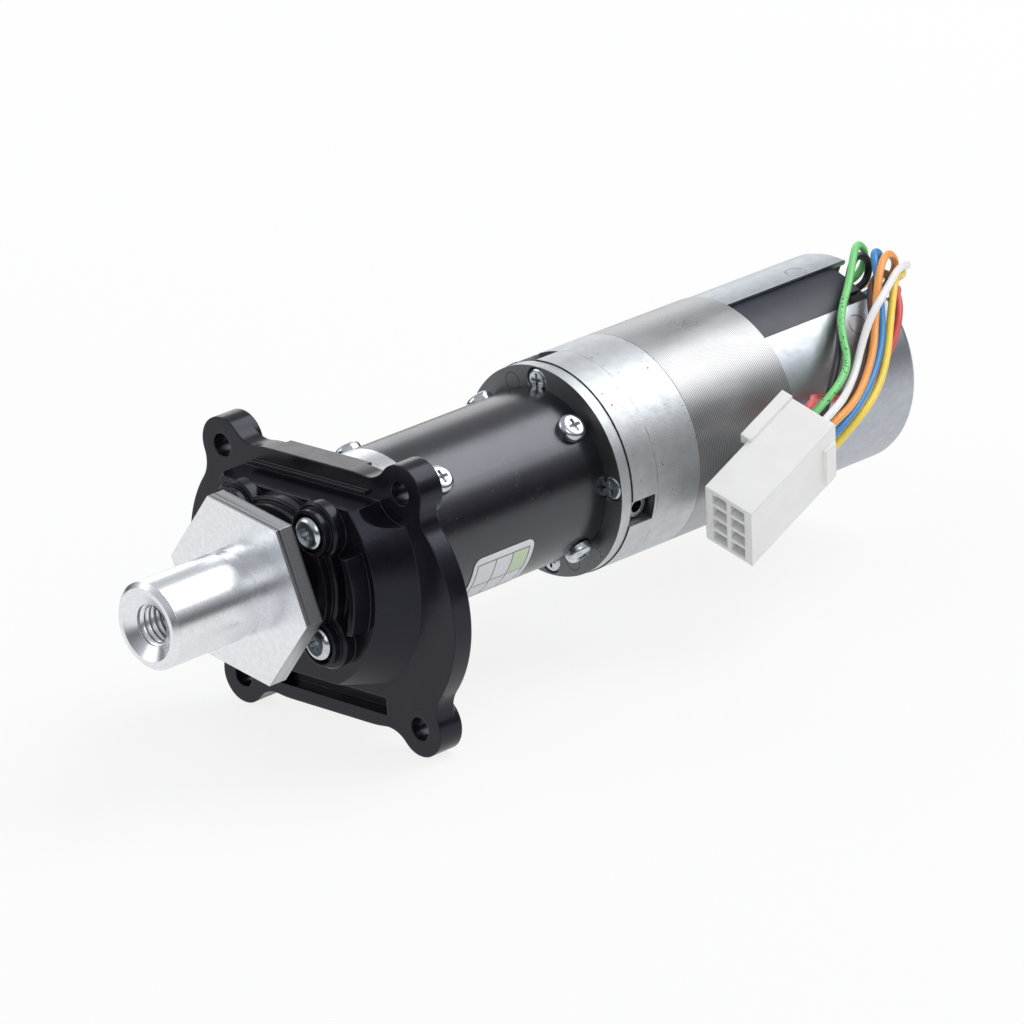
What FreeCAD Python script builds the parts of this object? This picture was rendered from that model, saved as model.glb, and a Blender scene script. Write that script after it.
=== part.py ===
import FreeCAD, Part
import math
import os
import re

import Sketcher
from FreeCAD import Placement, Rotation, Vector

# Wheel motor of a robotic lawn mower: a brushless motor, a two stage planetary gearbox, a tube that carries
# the output shaft forward, and a threaded hub with a hexagon that drives the wheel.
# The motor axis is Y. The origin is on that axis, in the front face of the mounting flange. The hub points
# to -Y, the motor to +Y, and Z is up. Lengths are in millimetres. Angles are in degrees about the axis,
# from straight up (+Z) towards +X.

os.makedirs("parts", exist_ok=True)
doc = FreeCAD.newDocument("WheelMotor")
sheet = doc.addObject("Spreadsheet::Sheet", "Sizes")

# Tooth counts and numbers of equal pieces. They are whole numbers, so they stay out of the sheet.
SUN_TEETH = 12
PLANET_TEETH = 18
RING_TEETH = SUN_TEETH + 2 * PLANET_TEETH
PLANETS = 3
STATOR_TEETH = 9
WINDOWS = 3
BOARD_SCREWS = 3

SIZES = {
    # mounting flange
    "flange_thick": 4.2,
    "flange_round": 24.5,
    "flange_half_flat": 10.8,
    "flange_drop": 5.1,
    "flange_lip_width": 2.0,
    "ear_spacing_x": 47.6,
    "ear_spacing_z": 45.3,
    "ear_radius": 5.4,
    "ear_hole_radius": 2.25,
    "ear_depth": 5.4,
    "ear_blend": 6.0,
    "collar_radius": 14.8,
    "collar_front": 10.9,
    "collar_lip": 1.9,
    "collar_mouth_radius": 7.2,
    "step_width": 1.0,
    "step_depth": 1.6,
    "edge_bevel": 0.4,
    "guard_radius": 21.1,
    "guard_wall": 1.3,
    "guard_half_width": 7.3,
    "dome_front": 6.8,
    "dome_radius": 22.4,
    "dome_foot": 27.0,
    "dome_top": 15.0,
    "dome_bottom": -20.0,
    "ear_clear": 6.2,
    "rib_half_length": 15.3,
    "rib_gap": 0.8,
    "rib_width": 0.7,
    "rib_height": 0.9,
    "groove_level": -23.6,
    "groove_width": 3.4,
    "groove_depth": 3.0,
    # screws of the mounting flange
    "boss_radius": 5.4,
    "boss_front": 11.0,
    "flange_screw_circle": 30.0,
    "flange_screw_seat": 9.9,
    "flange_screw_head": 3.2,
    "flange_screw_height": 2.0,
    "flange_screw_sink": 3.8,
    "star_outer": 1.35,
    "star_inner": 0.95,
    # front cap and gearbox tube
    "cap_disc_radius": 19.0,
    "cap_disc_front": 2.2,
    "cap_disc_thick": 3.0,
    "cap_length": 11.3,
    "cap_spigot": 10.5,
    "cap_bore": 9.0,
    "tube_radius": 16.6,
    "tube_wall": 1.6,
    "tube_length": 42.2,
    "front_screw_station": 20.0,
    "rear_screw_station": 54.0,
    "tube_screw_angle": 46.0,
    "tube_screw_tip": 12.7,
    # small pan head screws, used on the tube and on the gearbox plate
    "pan_head_radius": 2.8,
    "pan_head_height": 1.9,
    "screw_radius": 1.5,
    "screw_play": 0.2,
    "tip_room": 0.25,
    "recess_arm": 1.35,
    "recess_slot": 0.32,
    "recess_deep": 1.1,
    # output hub, shaft and seal
    "hub_gap": 15.7,
    "hex_thick": 4.0,
    "hex_flats": 31.4,
    "hex_angle": -20.0,
    "nose_length": 22.3,
    "nose_radius": 8.3,
    "nose_chamfer": 0.9,
    "nose_groove_offset": 1.9,
    "nose_groove_width": 2.3,
    "nose_groove_depth": 0.6,
    "thread_radius": 4.0,
    "thread_depth": 15.0,
    "mouth_radius": 6.5,
    "mouth_depth": 1.4,
    "hub_boss_radius": 8.2,
    "hub_boss_length": 1.2,
    "shaft_end_play": 0.2,
    "shaft_radius": 6.0,
    "shaft_nose_radius": 5.0,
    "shaft_nose_length": 9.8,
    "key_width": 3.0,
    "key_length": 7.0,
    "key_top": 6.4,
    "key_floor": 3.4,
    "seal_radius": 8.6,
    "seal_lip_radius": 9.6,
    "seal_width": 2.6,
    "seal_clearance": 0.4,
    # output bearings
    "bearing_radius": 12.0,
    "bearing_width": 6.0,
    "bearing_race": 1.7,
    "bearing_gap": 0.15,
    "rear_bearing_station": 50.0,
    "circlip_thick": 1.0,
    "circlip_bite": 0.8,
    "circlip_width": 1.2,
    "circlip_opening": 4.0,
    # gearbox housing
    "ring_wall": 3.225,
    "body_step": 0.2,
    "plate_thick": 2.6,
    "plate_spigot": 9.7,
    "plate_pilot": 7.7,
    "plate_screw_rim": 0.4,
    "plate_screw_head": 2.4,
    "plate_screw_height": 1.3,
    "plate_screw_length": 9.0,
    "cast_length": 18.1,
    "cast_bore": 16.2,
    "ring_length": 26.0,
    "joint_depth": 3.0,
    "joint_wall": 1.3,
    "window_angle": 105.5,
    "window_width": 5.4,
    "window_length": 6.0,
    "pin_radius": 2.2,
    "pin_bore": 1.3,
    "pin_station": 3.2,
    "pin_root": 2.4,
    "pin_head_gap": 1.9,
    # planetary gears
    "gear_module": 0.7,
    "pressure_angle": 25.0,
    "tooth_backlash": 0.12,
    "tooth_addendum": 0.95,
    "tooth_dedendum": 1.25,
    "gear_gap": 0.4,
    "carrier_radius": 15.4,
    "output_gear_width": 9.8,
    "output_carrier_thick": 4.0,
    "output_pin_radius": 2.0,
    "carrier_boss_radius": 7.5,
    "first_gear_width": 5.4,
    "first_carrier_thick": 2.4,
    "first_pin_radius": 1.5,
    "sun_neck_radius": 3.1,
    "sun_play": 0.2,
    "running_fit": 0.04,
    # motor
    "adapter_wall": 1.2,
    "adapter_length": 3.2,
    "sleeve_wall": 1.3,
    "sleeve_length": 33.5,
    "sleeve_rim": 0.5,
    "slot_angle": 26.4,
    "slot_width": 10.9,
    "cover_play": 0.25,
    "cover_drop": 0.8,
    "cover_thick": 1.6,
    "cover_length": 29.4,
    "cover_step": 4.6,
    "stator_start": 2.9,
    "stator_length": 14.0,
    "stator_yoke": 2.5,
    "coil_depth": 4.0,
    "stator_tooth_width": 3.2,
    "stator_shoe_width": 6.4,
    "stator_shoe_thick": 1.4,
    "coil_width": 7.8,
    "coil_overhang": 2.0,
    "coil_gap": 0.3,
    "air_gap": 0.5,
    "magnet_thick": 4.1,
    "rotor_length": 15.0,
    "motor_shaft_radius": 2.0,
    "motor_bearing_radius": 6.5,
    "motor_bearing_width": 5.0,
    "motor_bearing_race": 1.3,
    "board_gap": 1.6,
    "board_thick": 1.2,
    "board_inner": 5.2,
    "board_play": 0.3,
    "sensor_circle": 17.6,
    "sensor_width": 4.0,
    "sensor_height": 3.0,
    "sensor_thick": 2.2,
    "bell_length": 7.6,
    "bell_wall": 1.2,
    "bell_play": 0.02,
    "board_screw_radius": 1.0,
    "board_screw_head": 1.9,
    "board_screw_height": 1.2,
    "board_screw_length": 6.0,
    "board_screw_circle": 30.0,
    "grommet_height": 6.3,
    "grommet_sink": 1.5,
    # label
    "label_start": 8.3,
    "label_length": 15.4,
    "label_thick": 0.15,
    "label_middle": 127.0,
    "label_width": 13.0,
    # plug on the wires
    "plug_width": 10.8,
    "plug_length": 25.8,
    "plug_height": 16.6,
    "plug_wall": 1.0,
    "plug_rib": 0.9,
    "contact_width": 1.6,
    "contact_length": 18.0,
    "contact_pitch": 3.9,
    "contact_column": 4.2,
    "plug_rib_length": 3.0,
    "plug_rib_low": 2.0,
    "plug_rib_high": 4.0,
    "plug_floor": 2.0,
    "latch_width": 2.4,
    "latch_reach": 1.7,
    "latch_height": 1.6,
    "latch_rise": 0.8,
    "latch_length": 12.8,
    "wire_radius": 0.75,
}

# Places along the motor axis, worked out from the sizes.
STATIONS = {
    "hex_front": "=-hub_gap - hex_thick",
    "nose_tip": "=hex_front - nose_length",
    "socket_end": "=-hub_gap + hub_boss_length - shaft_nose_length - shaft_end_play",
    "front_bearing_station": "=-collar_front + collar_lip",
    "tube_start": "=flange_thick + cap_length",
    "tube_end": "=tube_start + tube_length",
    "cast_start": "=tube_end + plate_thick",
    "ring_start": "=cast_start + cast_length",
    "ring_end": "=ring_start + ring_length",
    "pitch_ring": "=gear_module * %d / 2" % RING_TEETH,
    "ring_root": "=pitch_ring + tooth_dedendum * gear_module",
    "joint_radius": "=ring_root + joint_wall",
    "gearbox_radius": "=ring_root + ring_wall",
    "plate_radius": "=gearbox_radius - body_step",
    "plate_screw_circle": "=2 * (plate_radius - plate_screw_rim - plate_screw_head)",
    "planet_orbit": "=gear_module * %d / 2" % (SUN_TEETH + PLANET_TEETH),
    "output_gear_start": "=ring_start + joint_depth + gear_gap / 2",
    "output_carrier_start": "=output_gear_start - gear_gap - output_carrier_thick",
    "first_carrier_start": "=output_gear_start + output_gear_width + gear_gap",
    "first_gear_start": "=first_carrier_start + first_carrier_thick + gear_gap",
    "adapter_start": "=ring_end - joint_depth",
    "adapter_bearing_station": "=adapter_start + adapter_wall",
    "adapter_end": "=ring_end + adapter_length",
    "sleeve_radius": "=plate_radius",
    "sleeve_bore": "=sleeve_radius - sleeve_wall",
    "sleeve_end": "=ring_end + sleeve_length",
    "stator_front": "=adapter_end + stator_start",
    "stator_rear": "=stator_front + stator_length",
    "coil_inner": "=sleeve_bore - stator_yoke - coil_gap * 2 - coil_depth",
    "stator_bore": "=coil_inner - coil_gap - stator_shoe_thick",
    "magnet_radius": "=stator_bore - air_gap",
    "rotor_front": "=stator_front - (rotor_length - stator_length) / 2",
    "grommet_outer": "=sleeve_bore - grommet_sink",
    "grommet_inner": "=grommet_outer - grommet_height",
    "board_front": "=stator_rear + coil_overhang + board_gap",
    "board_rear": "=board_front + board_thick",
    "bell_bearing_station": "=board_rear + bell_wall",
    "bell_end": "=board_rear + bell_length",
}

FORMULAS = {alias: str(value) for alias, value in SIZES.items()} | STATIONS
for row, (alias, content) in enumerate(FORMULAS.items(), start=1):
    sheet.set(f"A{row}", alias)
    sheet.set(f"B{row}", content)
    sheet.setAlias(f"B{row}", alias)
doc.recompute()

# An alias always has an underscore, which tells it from the names of functions.
ALIAS = re.compile(r"[a-z]+(?:_[a-z]+)+")
X_AXIS = Vector(1, 0, 0)
Y_AXIS = Vector(0, 1, 0)
ALONG_Y = Rotation(X_AXIS, -90)
SUB_PARTS = {}


def in_sheet(formula):
    """Points each alias of a formula at the sheet."""
    return ALIAS.sub(lambda match: "Sizes." + match.group(), str(formula))


def size(formula):
    """Value of a formula, for the few places that need a number."""
    return float(sheet.evalExpression(in_sheet(formula)))


def bind(feature, **formulas):
    """Drives properties of a feature by formulas. Two underscores in a name stand for a dot."""
    for name, formula in formulas.items():
        feature.setExpression(name.replace("__", "."), in_sheet(formula))


def finish(label, feature):
    """Names a finished sub-part."""
    feature.Label = label
    SUB_PARTS[label] = feature
    return feature


def rod(radius, start, end, x="0", z="0"):
    """Cylinder along the motor axis, or beside it."""
    feature = doc.addObject("Part::Cylinder", "Rod")
    feature.Placement = Placement(Vector(), ALONG_Y)
    bind(feature, Radius=radius, Height=f"({end}) - ({start})")
    bind(feature, Placement__Base__x=x, Placement__Base__y=start, Placement__Base__z=z)
    return feature


def spoke(radius, inner, outer, station, angle):
    """Cylinder that points straight out from the axis."""
    feature = doc.addObject("Part::Cylinder", "Spoke")
    feature.Placement = Placement(Vector(), Rotation(Y_AXIS, 1))
    bind(feature, Radius=radius, Height=f"({outer}) - ({inner})", Placement__Rotation__Angle=angle)
    bind(feature, Placement__Base__x=f"({inner}) * sin({angle})", Placement__Base__y=station)
    bind(feature, Placement__Base__z=f"({inner}) * cos({angle})")
    return feature


def cone(front_radius, rear_radius, start, end, x="0", z="0"):
    """Cone along the motor axis, or beside it."""
    feature = doc.addObject("Part::Cone", "Cone")
    feature.Placement = Placement(Vector(), ALONG_Y)
    bind(feature, Radius1=front_radius, Radius2=rear_radius, Height=f"({end}) - ({start})")
    bind(feature, Placement__Base__x=x, Placement__Base__y=start, Placement__Base__z=z)
    return feature


def block(x_low, x_high, start, end, z_low, z_high):
    """Box square to the axes."""
    feature = doc.addObject("Part::Box", "Block")
    bind(feature, Length=f"({x_high}) - ({x_low})", Width=f"({end}) - ({start})")
    bind(feature, Height=f"({z_high}) - ({z_low})")
    bind(feature, Placement__Base__x=x_low, Placement__Base__y=start, Placement__Base__z=z_low)
    return feature


def radial_block(width, inner, outer, start, end, angle):
    """Box that stands out from the axis at an angle, as wide as given on each side of that angle together."""
    feature = doc.addObject("Part::Box", "RadialBlock")
    feature.Placement = Placement(Vector(), Rotation(Y_AXIS, 1))
    bind(feature, Length=width, Width=f"({end}) - ({start})", Height=f"({outer}) - ({inner})")
    bind(feature, Placement__Rotation__Angle=angle, Placement__Base__y=start)
    bind(feature, Placement__Base__x=f"({inner}) * sin({angle}) - ({width}) / 2 * cos({angle})")
    bind(feature, Placement__Base__z=f"({inner}) * cos({angle}) + ({width}) / 2 * sin({angle})")
    return feature


def fuse(*features):
    """One solid out of several that touch or overlap."""
    feature = doc.addObject("Part::MultiFuse", "Fusion")
    feature.Shapes = list(features)
    feature.Refine = True
    return feature


def group(*features):
    """Separate solids that belong to one sub-part."""
    feature = doc.addObject("Part::Compound", "Group")
    feature.Links = list(features)
    return feature


def cut(base, *tools):
    """Base without the tools."""
    feature = doc.addObject("Part::Cut", "Cut")
    feature.Base = base
    feature.Tool = tools[0] if len(tools) == 1 else fuse(*tools)
    feature.Refine = True
    return feature


def common(first, second):
    """What two shapes share."""
    feature = doc.addObject("Part::MultiCommon", "Common")
    feature.Shapes = [first, second]
    return feature


def origin_plane(body, role):
    """Origin plane of a body."""
    return next(item for item in body.Origin.OriginFeatures if item.Role == role)


def outline(body, role, points, station=None):
    """Closed sketch of straight lines whose corners are pairs of formulas."""
    sketch = body.newObject("Sketcher::SketchObject", "Outline")
    sketch.AttachmentSupport = [(origin_plane(body, role), "")]
    sketch.MapMode = "FlatFace"
    if station is not None:
        bind(sketch, AttachmentOffset__Base__z=f"-({station})")
    corners = [Vector(size(u), size(v), 0) for u, v in points]
    for here, there in zip(corners, corners[1:] + corners[:1]):
        sketch.addGeometry(Part.LineSegment(here, there), False)
    for line in range(len(points)):
        sketch.addConstraint(Sketcher.Constraint("Coincident", line, 2, (line + 1) % len(points), 1))
    for line, (corner, formulas) in enumerate(zip(corners, points)):
        for kind, value, formula in zip(("DistanceX", "DistanceY"), corner, formulas):
            number = sketch.addConstraint(Sketcher.Constraint(kind, -1, 1, line, 1, value))
            sketch.setExpression(f"Constraints[{number}]", in_sheet(formula))
    return sketch


def turned(points):
    """Body turned about the motor axis. Each point is a radius and a place on the axis."""
    body = doc.addObject("PartDesign::Body", "Turned")
    sketch = outline(body, "XY_Plane", points)
    revolution = body.newObject("PartDesign::Revolution", "Revolution")
    revolution.Profile = sketch
    revolution.ReferenceAxis = (sketch, ["V_Axis"])
    revolution.Angle = 360
    body.Tip = revolution
    return body


def tube(inner, outer, start, end):
    """Turned body with a plain rectangular section."""
    return turned([(inner, start), (outer, start), (outer, end), (inner, end)])


def rim_edges(shape, radius, station):
    """Names of the round edges of one radius at one place on the axis."""
    names = []
    for number, edge in enumerate(shape.Edges, start=1):
        curve = edge.Curve
        if isinstance(curve, Part.Circle):
            if abs(curve.Radius - radius) < 1e-4 and abs(curve.Center.y - station) < 1e-4:
                names.append(f"Edge{number}")
    return names


def quarters(first="45"):
    """Four angles a quarter turn apart."""
    return [f"{first} + {90 * step}" for step in range(4)]


def screw_template(head_radius, head_height, shank_radius, shank_length, recess):
    """Screw with its head towards -Y and the seat of the head in the plane y = 0."""
    body = turned([
        ("0", f"-{head_height}"),
        (head_radius, f"-{head_height}"),
        (head_radius, "0"),
        (shank_radius, "0"),
        (shank_radius, f"{shank_length} - {shank_radius} / 3"),
        (f"{shank_radius} * 2 / 3", shank_length),
        ("0", shank_length),
    ])
    doc.recompute()
    turned_part = body.Tip
    dome = body.newObject("PartDesign::Fillet", "Dome")
    dome.Base = (turned_part, rim_edges(body.Shape, size(head_radius), -size(head_height)))
    bind(dome, Radius=f"{head_height} * 0.6")
    doc.recompute()
    solid = body.Shape.Volume
    pocket = body.newObject("PartDesign::Pocket", "Recess")
    pocket.Profile = outline(body, "XZ_Plane", recess, f"-{head_height}")
    bind(pocket, Length="recess_deep")
    doc.recompute()
    if body.Shape.Volume >= solid:
        raise ValueError("the recess of a screw cuts nothing")
    return body


def cross_recess():
    """Corners of a cross for a screwdriver."""
    arm, slot = "recess_arm", "recess_slot"
    corners = [(slot, arm), (slot, slot), (arm, slot)]
    points = []
    for x_sign, z_sign, turn in ((-1, 1, -1), (1, 1, 1), (1, -1, -1), (-1, -1, 1)):
        for x, z in corners[::turn]:
            points.append((f"{x_sign} * {x}", f"{z_sign} * {z}"))
    return points


def star_recess():
    """Corners of a six lobed star."""
    points = []
    for step in range(12):
        radius = "star_inner" if step % 2 else "star_outer"
        points.append((f"{radius} * sin({30 * step})", f"{radius} * cos({30 * step})"))
    return points


def copies(template, places):
    """Copies of one finished shape at several placements, as separate solids."""
    feature = doc.addObject("Part::Feature", "Copies")
    solids = []
    for place in places:
        solid = template.Shape.Solids[0].copy()
        solid.Placement = place.multiply(solid.Placement)
        solids.append(solid)
    feature.Shape = Part.makeCompound(solids)
    return feature


def axial_place(circle, angle, station):
    """Placement beside the axis, on a circle given by its diameter."""
    radius = size(circle) / 2
    turn = math.radians(size(angle))
    return Placement(Vector(radius * math.sin(turn), size(station), radius * math.cos(turn)), Rotation())


def radial_place(radius, angle, station):
    """Placement of a screw that is driven straight in towards the axis."""
    turn = Rotation(Y_AXIS, size(angle))
    base = turn.multVec(Vector(0, 0, size(radius))) + Vector(0, size(station), 0)
    return Placement(base, turn.multiply(Rotation(X_AXIS, -90)))


# Mounting flange and the pieces at the front of the gearbox tube

def blend_edges(shape):
    """Numbers of the inner corners between the ears and the rounded sides of the flange."""
    numbers = []
    drop = size("flange_drop")
    for number, edge in enumerate(shape.Edges, start=1):
        ends = [vertex.Point for vertex in edge.Vertexes]
        if len(ends) < 2 or abs(ends[0].y - ends[1].y) < size("flange_thick") / 2:
            continue
        x = abs(ends[0].x)
        z = abs(ends[0].z + drop)
        from_ear = math.hypot(x - size("ear_spacing_x / 2"), z - size("ear_spacing_z / 2"))
        from_side = math.hypot(x - size("flange_half_flat"), z)
        if abs(from_ear - size("ear_radius")) < 0.01 and abs(from_side - size("flange_round")) < 0.01:
            numbers.append(number)
    return numbers


def ear_centres():
    """Middle of each ear, as formulas."""
    return [
        (f"{x} * ear_spacing_x / 2", f"{z} * ear_spacing_z / 2 - flange_drop")
        for x in (-1, 1)
        for z in (-1, 1)
    ]


def flange_screw_centres():
    """Middle of each screw that holds the flange to the front cap, as formulas."""
    return [
        (f"flange_screw_circle / 2 * sin({angle})", f"flange_screw_circle / 2 * cos({angle})")
        for angle in quarters()
    ]


def stepped_boss(radius, front, x="0", z="0"):
    """Round boss of the flange. Its front ring is narrower, and the step behind it has a bevelled edge."""
    step = f"-{front} + step_depth"
    return [
        rod(f"{radius} - step_width", f"-{front}", "flange_thick", x, z),
        cone(f"{radius} - edge_bevel", radius, step, f"{step} + edge_bevel", x, z),
        rod(radius, f"{step} + edge_bevel", "flange_thick", x, z),
    ]


def flange_dome():
    """Raised middle of the flange, level at its top and bottom and hollowed beside the ears."""
    span = block("-dome_foot", "dome_foot", "-dome_front", "1", "dome_bottom", "dome_top")
    return cut(
        common(cone("dome_radius", "dome_foot", "-dome_front", "0"), span),
        *[rod("ear_clear", "-dome_front - 1", "0", x, z) for x, z in ear_centres()],
    )


def guard_walls():
    """Low curved wall on each side of the collar."""
    band = block(
        "-guard_radius", "guard_radius", "-collar_front", "1", "-guard_half_width", "guard_half_width"
    )
    return common(tube("guard_radius - guard_wall", "guard_radius", "-collar_front", "1"), band)


def mounting_flange():
    """Black plastic flange with four ears, a collar for the front bearing and four screw bosses."""
    rounds = [
        rod("flange_round", "0", "flange_thick", x=f"{side} * flange_half_flat", z="-flange_drop")
        for side in (-1, 1)
    ]
    middle = block(
        "-flange_half_flat", "flange_half_flat", "0", "flange_thick",
        "-flange_drop - flange_round", "-flange_drop + flange_round",
    )
    plate = fuse(middle, *rounds, *[rod("ear_radius", "0", "flange_thick", x, z) for x, z in ear_centres()])
    doc.recompute()
    blended = doc.addObject("Part::Fillet", "Blend")
    blended.Base = plate
    blended.Edges = [(number, size("ear_blend"), size("ear_blend")) for number in blend_edges(plate.Shape)]
    ears = [rod("ear_radius", "0", "ear_depth", x, z) for x, z in ear_centres()]
    lips = [
        block(
            "-flange_half_flat", "flange_half_flat", "0", "ear_depth",
            f"-flange_drop + {side} * (flange_round - flange_lip_width / 2) - flange_lip_width / 2",
            f"-flange_drop + {side} * (flange_round - flange_lip_width / 2) + flange_lip_width / 2",
        )
        for side in (-1, 1)
    ]
    collar = stepped_boss("collar_radius", "collar_front")
    bosses = []
    for x, z in flange_screw_centres():
        bosses += stepped_boss("boss_radius", "boss_front", x, z)
    above = block("-dome_foot", "dome_foot", "-dome_front", "0", "dome_top", "dome_top + boss_radius")
    below = block("-dome_foot", "dome_foot", "-dome_front", "0", "dome_bottom - boss_radius", "dome_bottom")
    centre = cut(fuse(*collar, *bosses), above, below)
    rib_low = "dome_top + rib_gap"
    rib = block("-rib_half_length", "rib_half_length", "-rib_height", "1", rib_low, f"{rib_low} + rib_width")
    solid = fuse(blended, *ears, *lips, flange_dome(), guard_walls(), centre, rib)
    holes = [
        rod("bearing_radius", "front_bearing_station", "ear_depth"),
        rod("collar_mouth_radius", "-collar_front - 1", "0"),
        rod("cap_disc_radius", "cap_disc_front", "ear_depth + 1"),
        block(
            "-rib_half_length", "rib_half_length", "-1", "groove_depth",
            "groove_level - groove_width", "groove_level",
        ),
    ]
    holes += [rod("ear_hole_radius", "-1", "ear_depth + 1", x, z) for x, z in ear_centres()]
    for x, z in flange_screw_centres():
        holes.append(rod("screw_radius + screw_play", "-boss_front - 1", "flange_thick", x, z))
        holes.append(rod("flange_screw_sink", "-boss_front - 1", "-flange_screw_seat", x, z))
    return cut(solid, *holes)


def flange_screws():
    """Four star drive screws through the flange into the front cap."""
    template = screw_template(
        "flange_screw_head", "flange_screw_height", "screw_radius",
        "(flange_screw_seat + cap_disc_front + cap_disc_thick - 2 * tip_room)", star_recess(),
    )
    return copies(
        template, [axial_place("flange_screw_circle", angle, "-flange_screw_seat") for angle in quarters()]
    )


def front_cap():
    """Aluminium cap that joins the flange to the gearbox tube and clamps the front bearing."""
    disc_rear = "cap_disc_front + cap_disc_thick"
    body = turned([
        ("cap_bore", "front_bearing_station + bearing_width"),
        ("bearing_radius", "front_bearing_station + bearing_width"),
        ("bearing_radius", "cap_disc_front"),
        ("cap_disc_radius", "cap_disc_front"),
        ("cap_disc_radius", disc_rear),
        ("tube_radius", disc_rear),
        ("tube_radius", "tube_start"),
        ("tube_radius - tube_wall", "tube_start"),
        ("tube_radius - tube_wall", "tube_start + cap_spigot"),
        ("bearing_radius", "tube_start + cap_spigot"),
        ("bearing_radius", "tube_start"),
        ("cap_bore", "tube_start"),
    ])
    holes = [
        rod("screw_radius", "0", f"{disc_rear} - tip_room", x, z) for x, z in flange_screw_centres()
    ]
    for angle in quarters("tube_screw_angle"):
        holes.append(spoke("screw_radius", "cap_bore", "tube_radius + 1", "front_screw_station", angle))
    return cut(body, *holes)


def gearbox_tube():
    """Black steel tube between the front cap and the gearbox."""
    body = tube("tube_radius - tube_wall", "tube_radius", "tube_start", "tube_end")
    holes = []
    for station in ("front_screw_station", "rear_screw_station"):
        for angle in quarters("tube_screw_angle"):
            holes.append(spoke("screw_radius + screw_play", "cap_bore", "tube_radius + 1", station, angle))
    return cut(body, *holes)


def tube_screws(template, station):
    """Four cross recess screws driven in towards the axis."""
    return copies(
        template, [radial_place("tube_radius", angle, station) for angle in quarters("tube_screw_angle")]
    )


def rating_label():
    """Blank label stuck on the side of the tube."""
    start = "tube_start + label_start"
    shell = tube("tube_radius", "tube_radius + label_thick", start, f"{start} + label_length")
    window = radial_block(
        "label_width", "tube_radius / 2", "tube_radius * 1.2", start, f"{start} + label_length", "label_middle"
    )
    return common(shell, window)


# Output hub and shaft

def output_hub():
    """Turned aluminium hub with a hexagon that drives the wheel and an M8 thread for its bolt."""
    rear = "-hub_gap + hub_boss_length"
    groove_end = "hex_front - nose_groove_offset"
    groove_start = f"{groove_end} - nose_groove_width"
    body = turned([
        ("0", "nose_tip + thread_depth"),
        ("thread_radius", "nose_tip + thread_depth"),
        ("thread_radius", "nose_tip + mouth_depth"),
        ("mouth_radius", "nose_tip"),
        ("nose_radius - nose_chamfer", "nose_tip"),
        ("nose_radius", "nose_tip + nose_chamfer"),
        ("nose_radius", groove_start),
        ("nose_radius - nose_groove_depth", groove_start),
        ("nose_radius - nose_groove_depth", groove_end),
        ("nose_radius", groove_end),
        ("nose_radius", "hex_front"),
        ("hub_boss_radius + 1", "hex_front"),
        ("hub_boss_radius + 1", "-hub_gap"),
        ("hub_boss_radius", "-hub_gap"),
        ("hub_boss_radius", rear),
        ("shaft_nose_radius", rear),
        ("shaft_nose_radius", "socket_end"),
        ("0", "socket_end"),
    ])
    doc.recompute()
    corners = []
    for step in range(6):
        corner_angle = f"(hex_angle + {60 * step})"
        corners.append((
            f"hex_flats / 2 / cos(30) * sin{corner_angle}",
            f"hex_flats / 2 / cos(30) * cos{corner_angle}",
        ))
    pad = body.newObject("PartDesign::Pad", "Hexagon")
    pad.Profile = outline(body, "XZ_Plane", corners, "hex_front")
    pad.Reversed = True
    bind(pad, Length="hex_thick")
    body.Tip = pad
    socket = rod("shaft_nose_radius", "socket_end", rear)
    keyway = block("-key_width / 2", "key_width / 2", f"{rear} - key_length", rear, "0", "key_top")
    return cut(body, socket, keyway)


def output_shaft():
    """Steel shaft from the hub to the output carrier."""
    hub_rear = "-hub_gap + hub_boss_length"
    carrier_end = "output_carrier_start + output_carrier_thick"
    body = turned([
        ("0", f"{hub_rear} - shaft_nose_length"),
        ("shaft_nose_radius - 0.4", f"{hub_rear} - shaft_nose_length"),
        ("shaft_nose_radius", f"{hub_rear} - shaft_nose_length + 0.4"),
        ("shaft_nose_radius", hub_rear),
        ("shaft_radius", hub_rear),
        ("shaft_radius", "rear_bearing_station + bearing_width"),
        ("shaft_nose_radius", "rear_bearing_station + bearing_width"),
        ("shaft_nose_radius", carrier_end),
        ("0", carrier_end),
    ])
    keyway = block(
        "-key_width / 2", "key_width / 2", f"{hub_rear} - key_length", hub_rear, "key_floor", "key_top"
    )
    return cut(body, keyway)


def hub_key():
    """Parallel key between the hub and the shaft."""
    rear = "-hub_gap + hub_boss_length"
    return block("-key_width / 2", "key_width / 2", f"{rear} - key_length", rear, "key_floor", "key_top")


def shaft_seal():
    """Rubber ring on the shaft whose lip runs against the collar of the flange."""
    lip = "-collar_front - seal_clearance"
    return turned([
        ("shaft_radius", f"{lip} - seal_width"),
        ("seal_radius", f"{lip} - seal_width"),
        ("seal_radius", f"{lip} - seal_width * 0.4"),
        ("seal_lip_radius", lip),
        ("seal_lip_radius - 0.6", lip),
        ("shaft_radius + 1", f"{lip} - seal_width * 0.3"),
        ("shaft_radius", f"{lip} - seal_width * 0.3"),
    ])


def bearing_outer(outer, inner, race, width, start):
    """Outer ring of a ball bearing with the two shields that close it."""
    shield = "bearing_gap * 2"
    gap = f"{inner} + {race} + bearing_gap"
    channel = f"{outer} - {race}"
    return turned([
        (gap, start),
        (outer, start),
        (outer, f"{start} + {width}"),
        (gap, f"{start} + {width}"),
        (gap, f"{start} + {width} - {shield}"),
        (channel, f"{start} + {width} - {shield}"),
        (channel, f"{start} + {shield}"),
        (gap, f"{start} + {shield}"),
    ])


def bearing_inner(inner, race, width, start):
    """Inner ring of a ball bearing."""
    return tube(inner, f"{inner} + {race}", start, f"{start} + {width}")


# Gearbox

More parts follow.
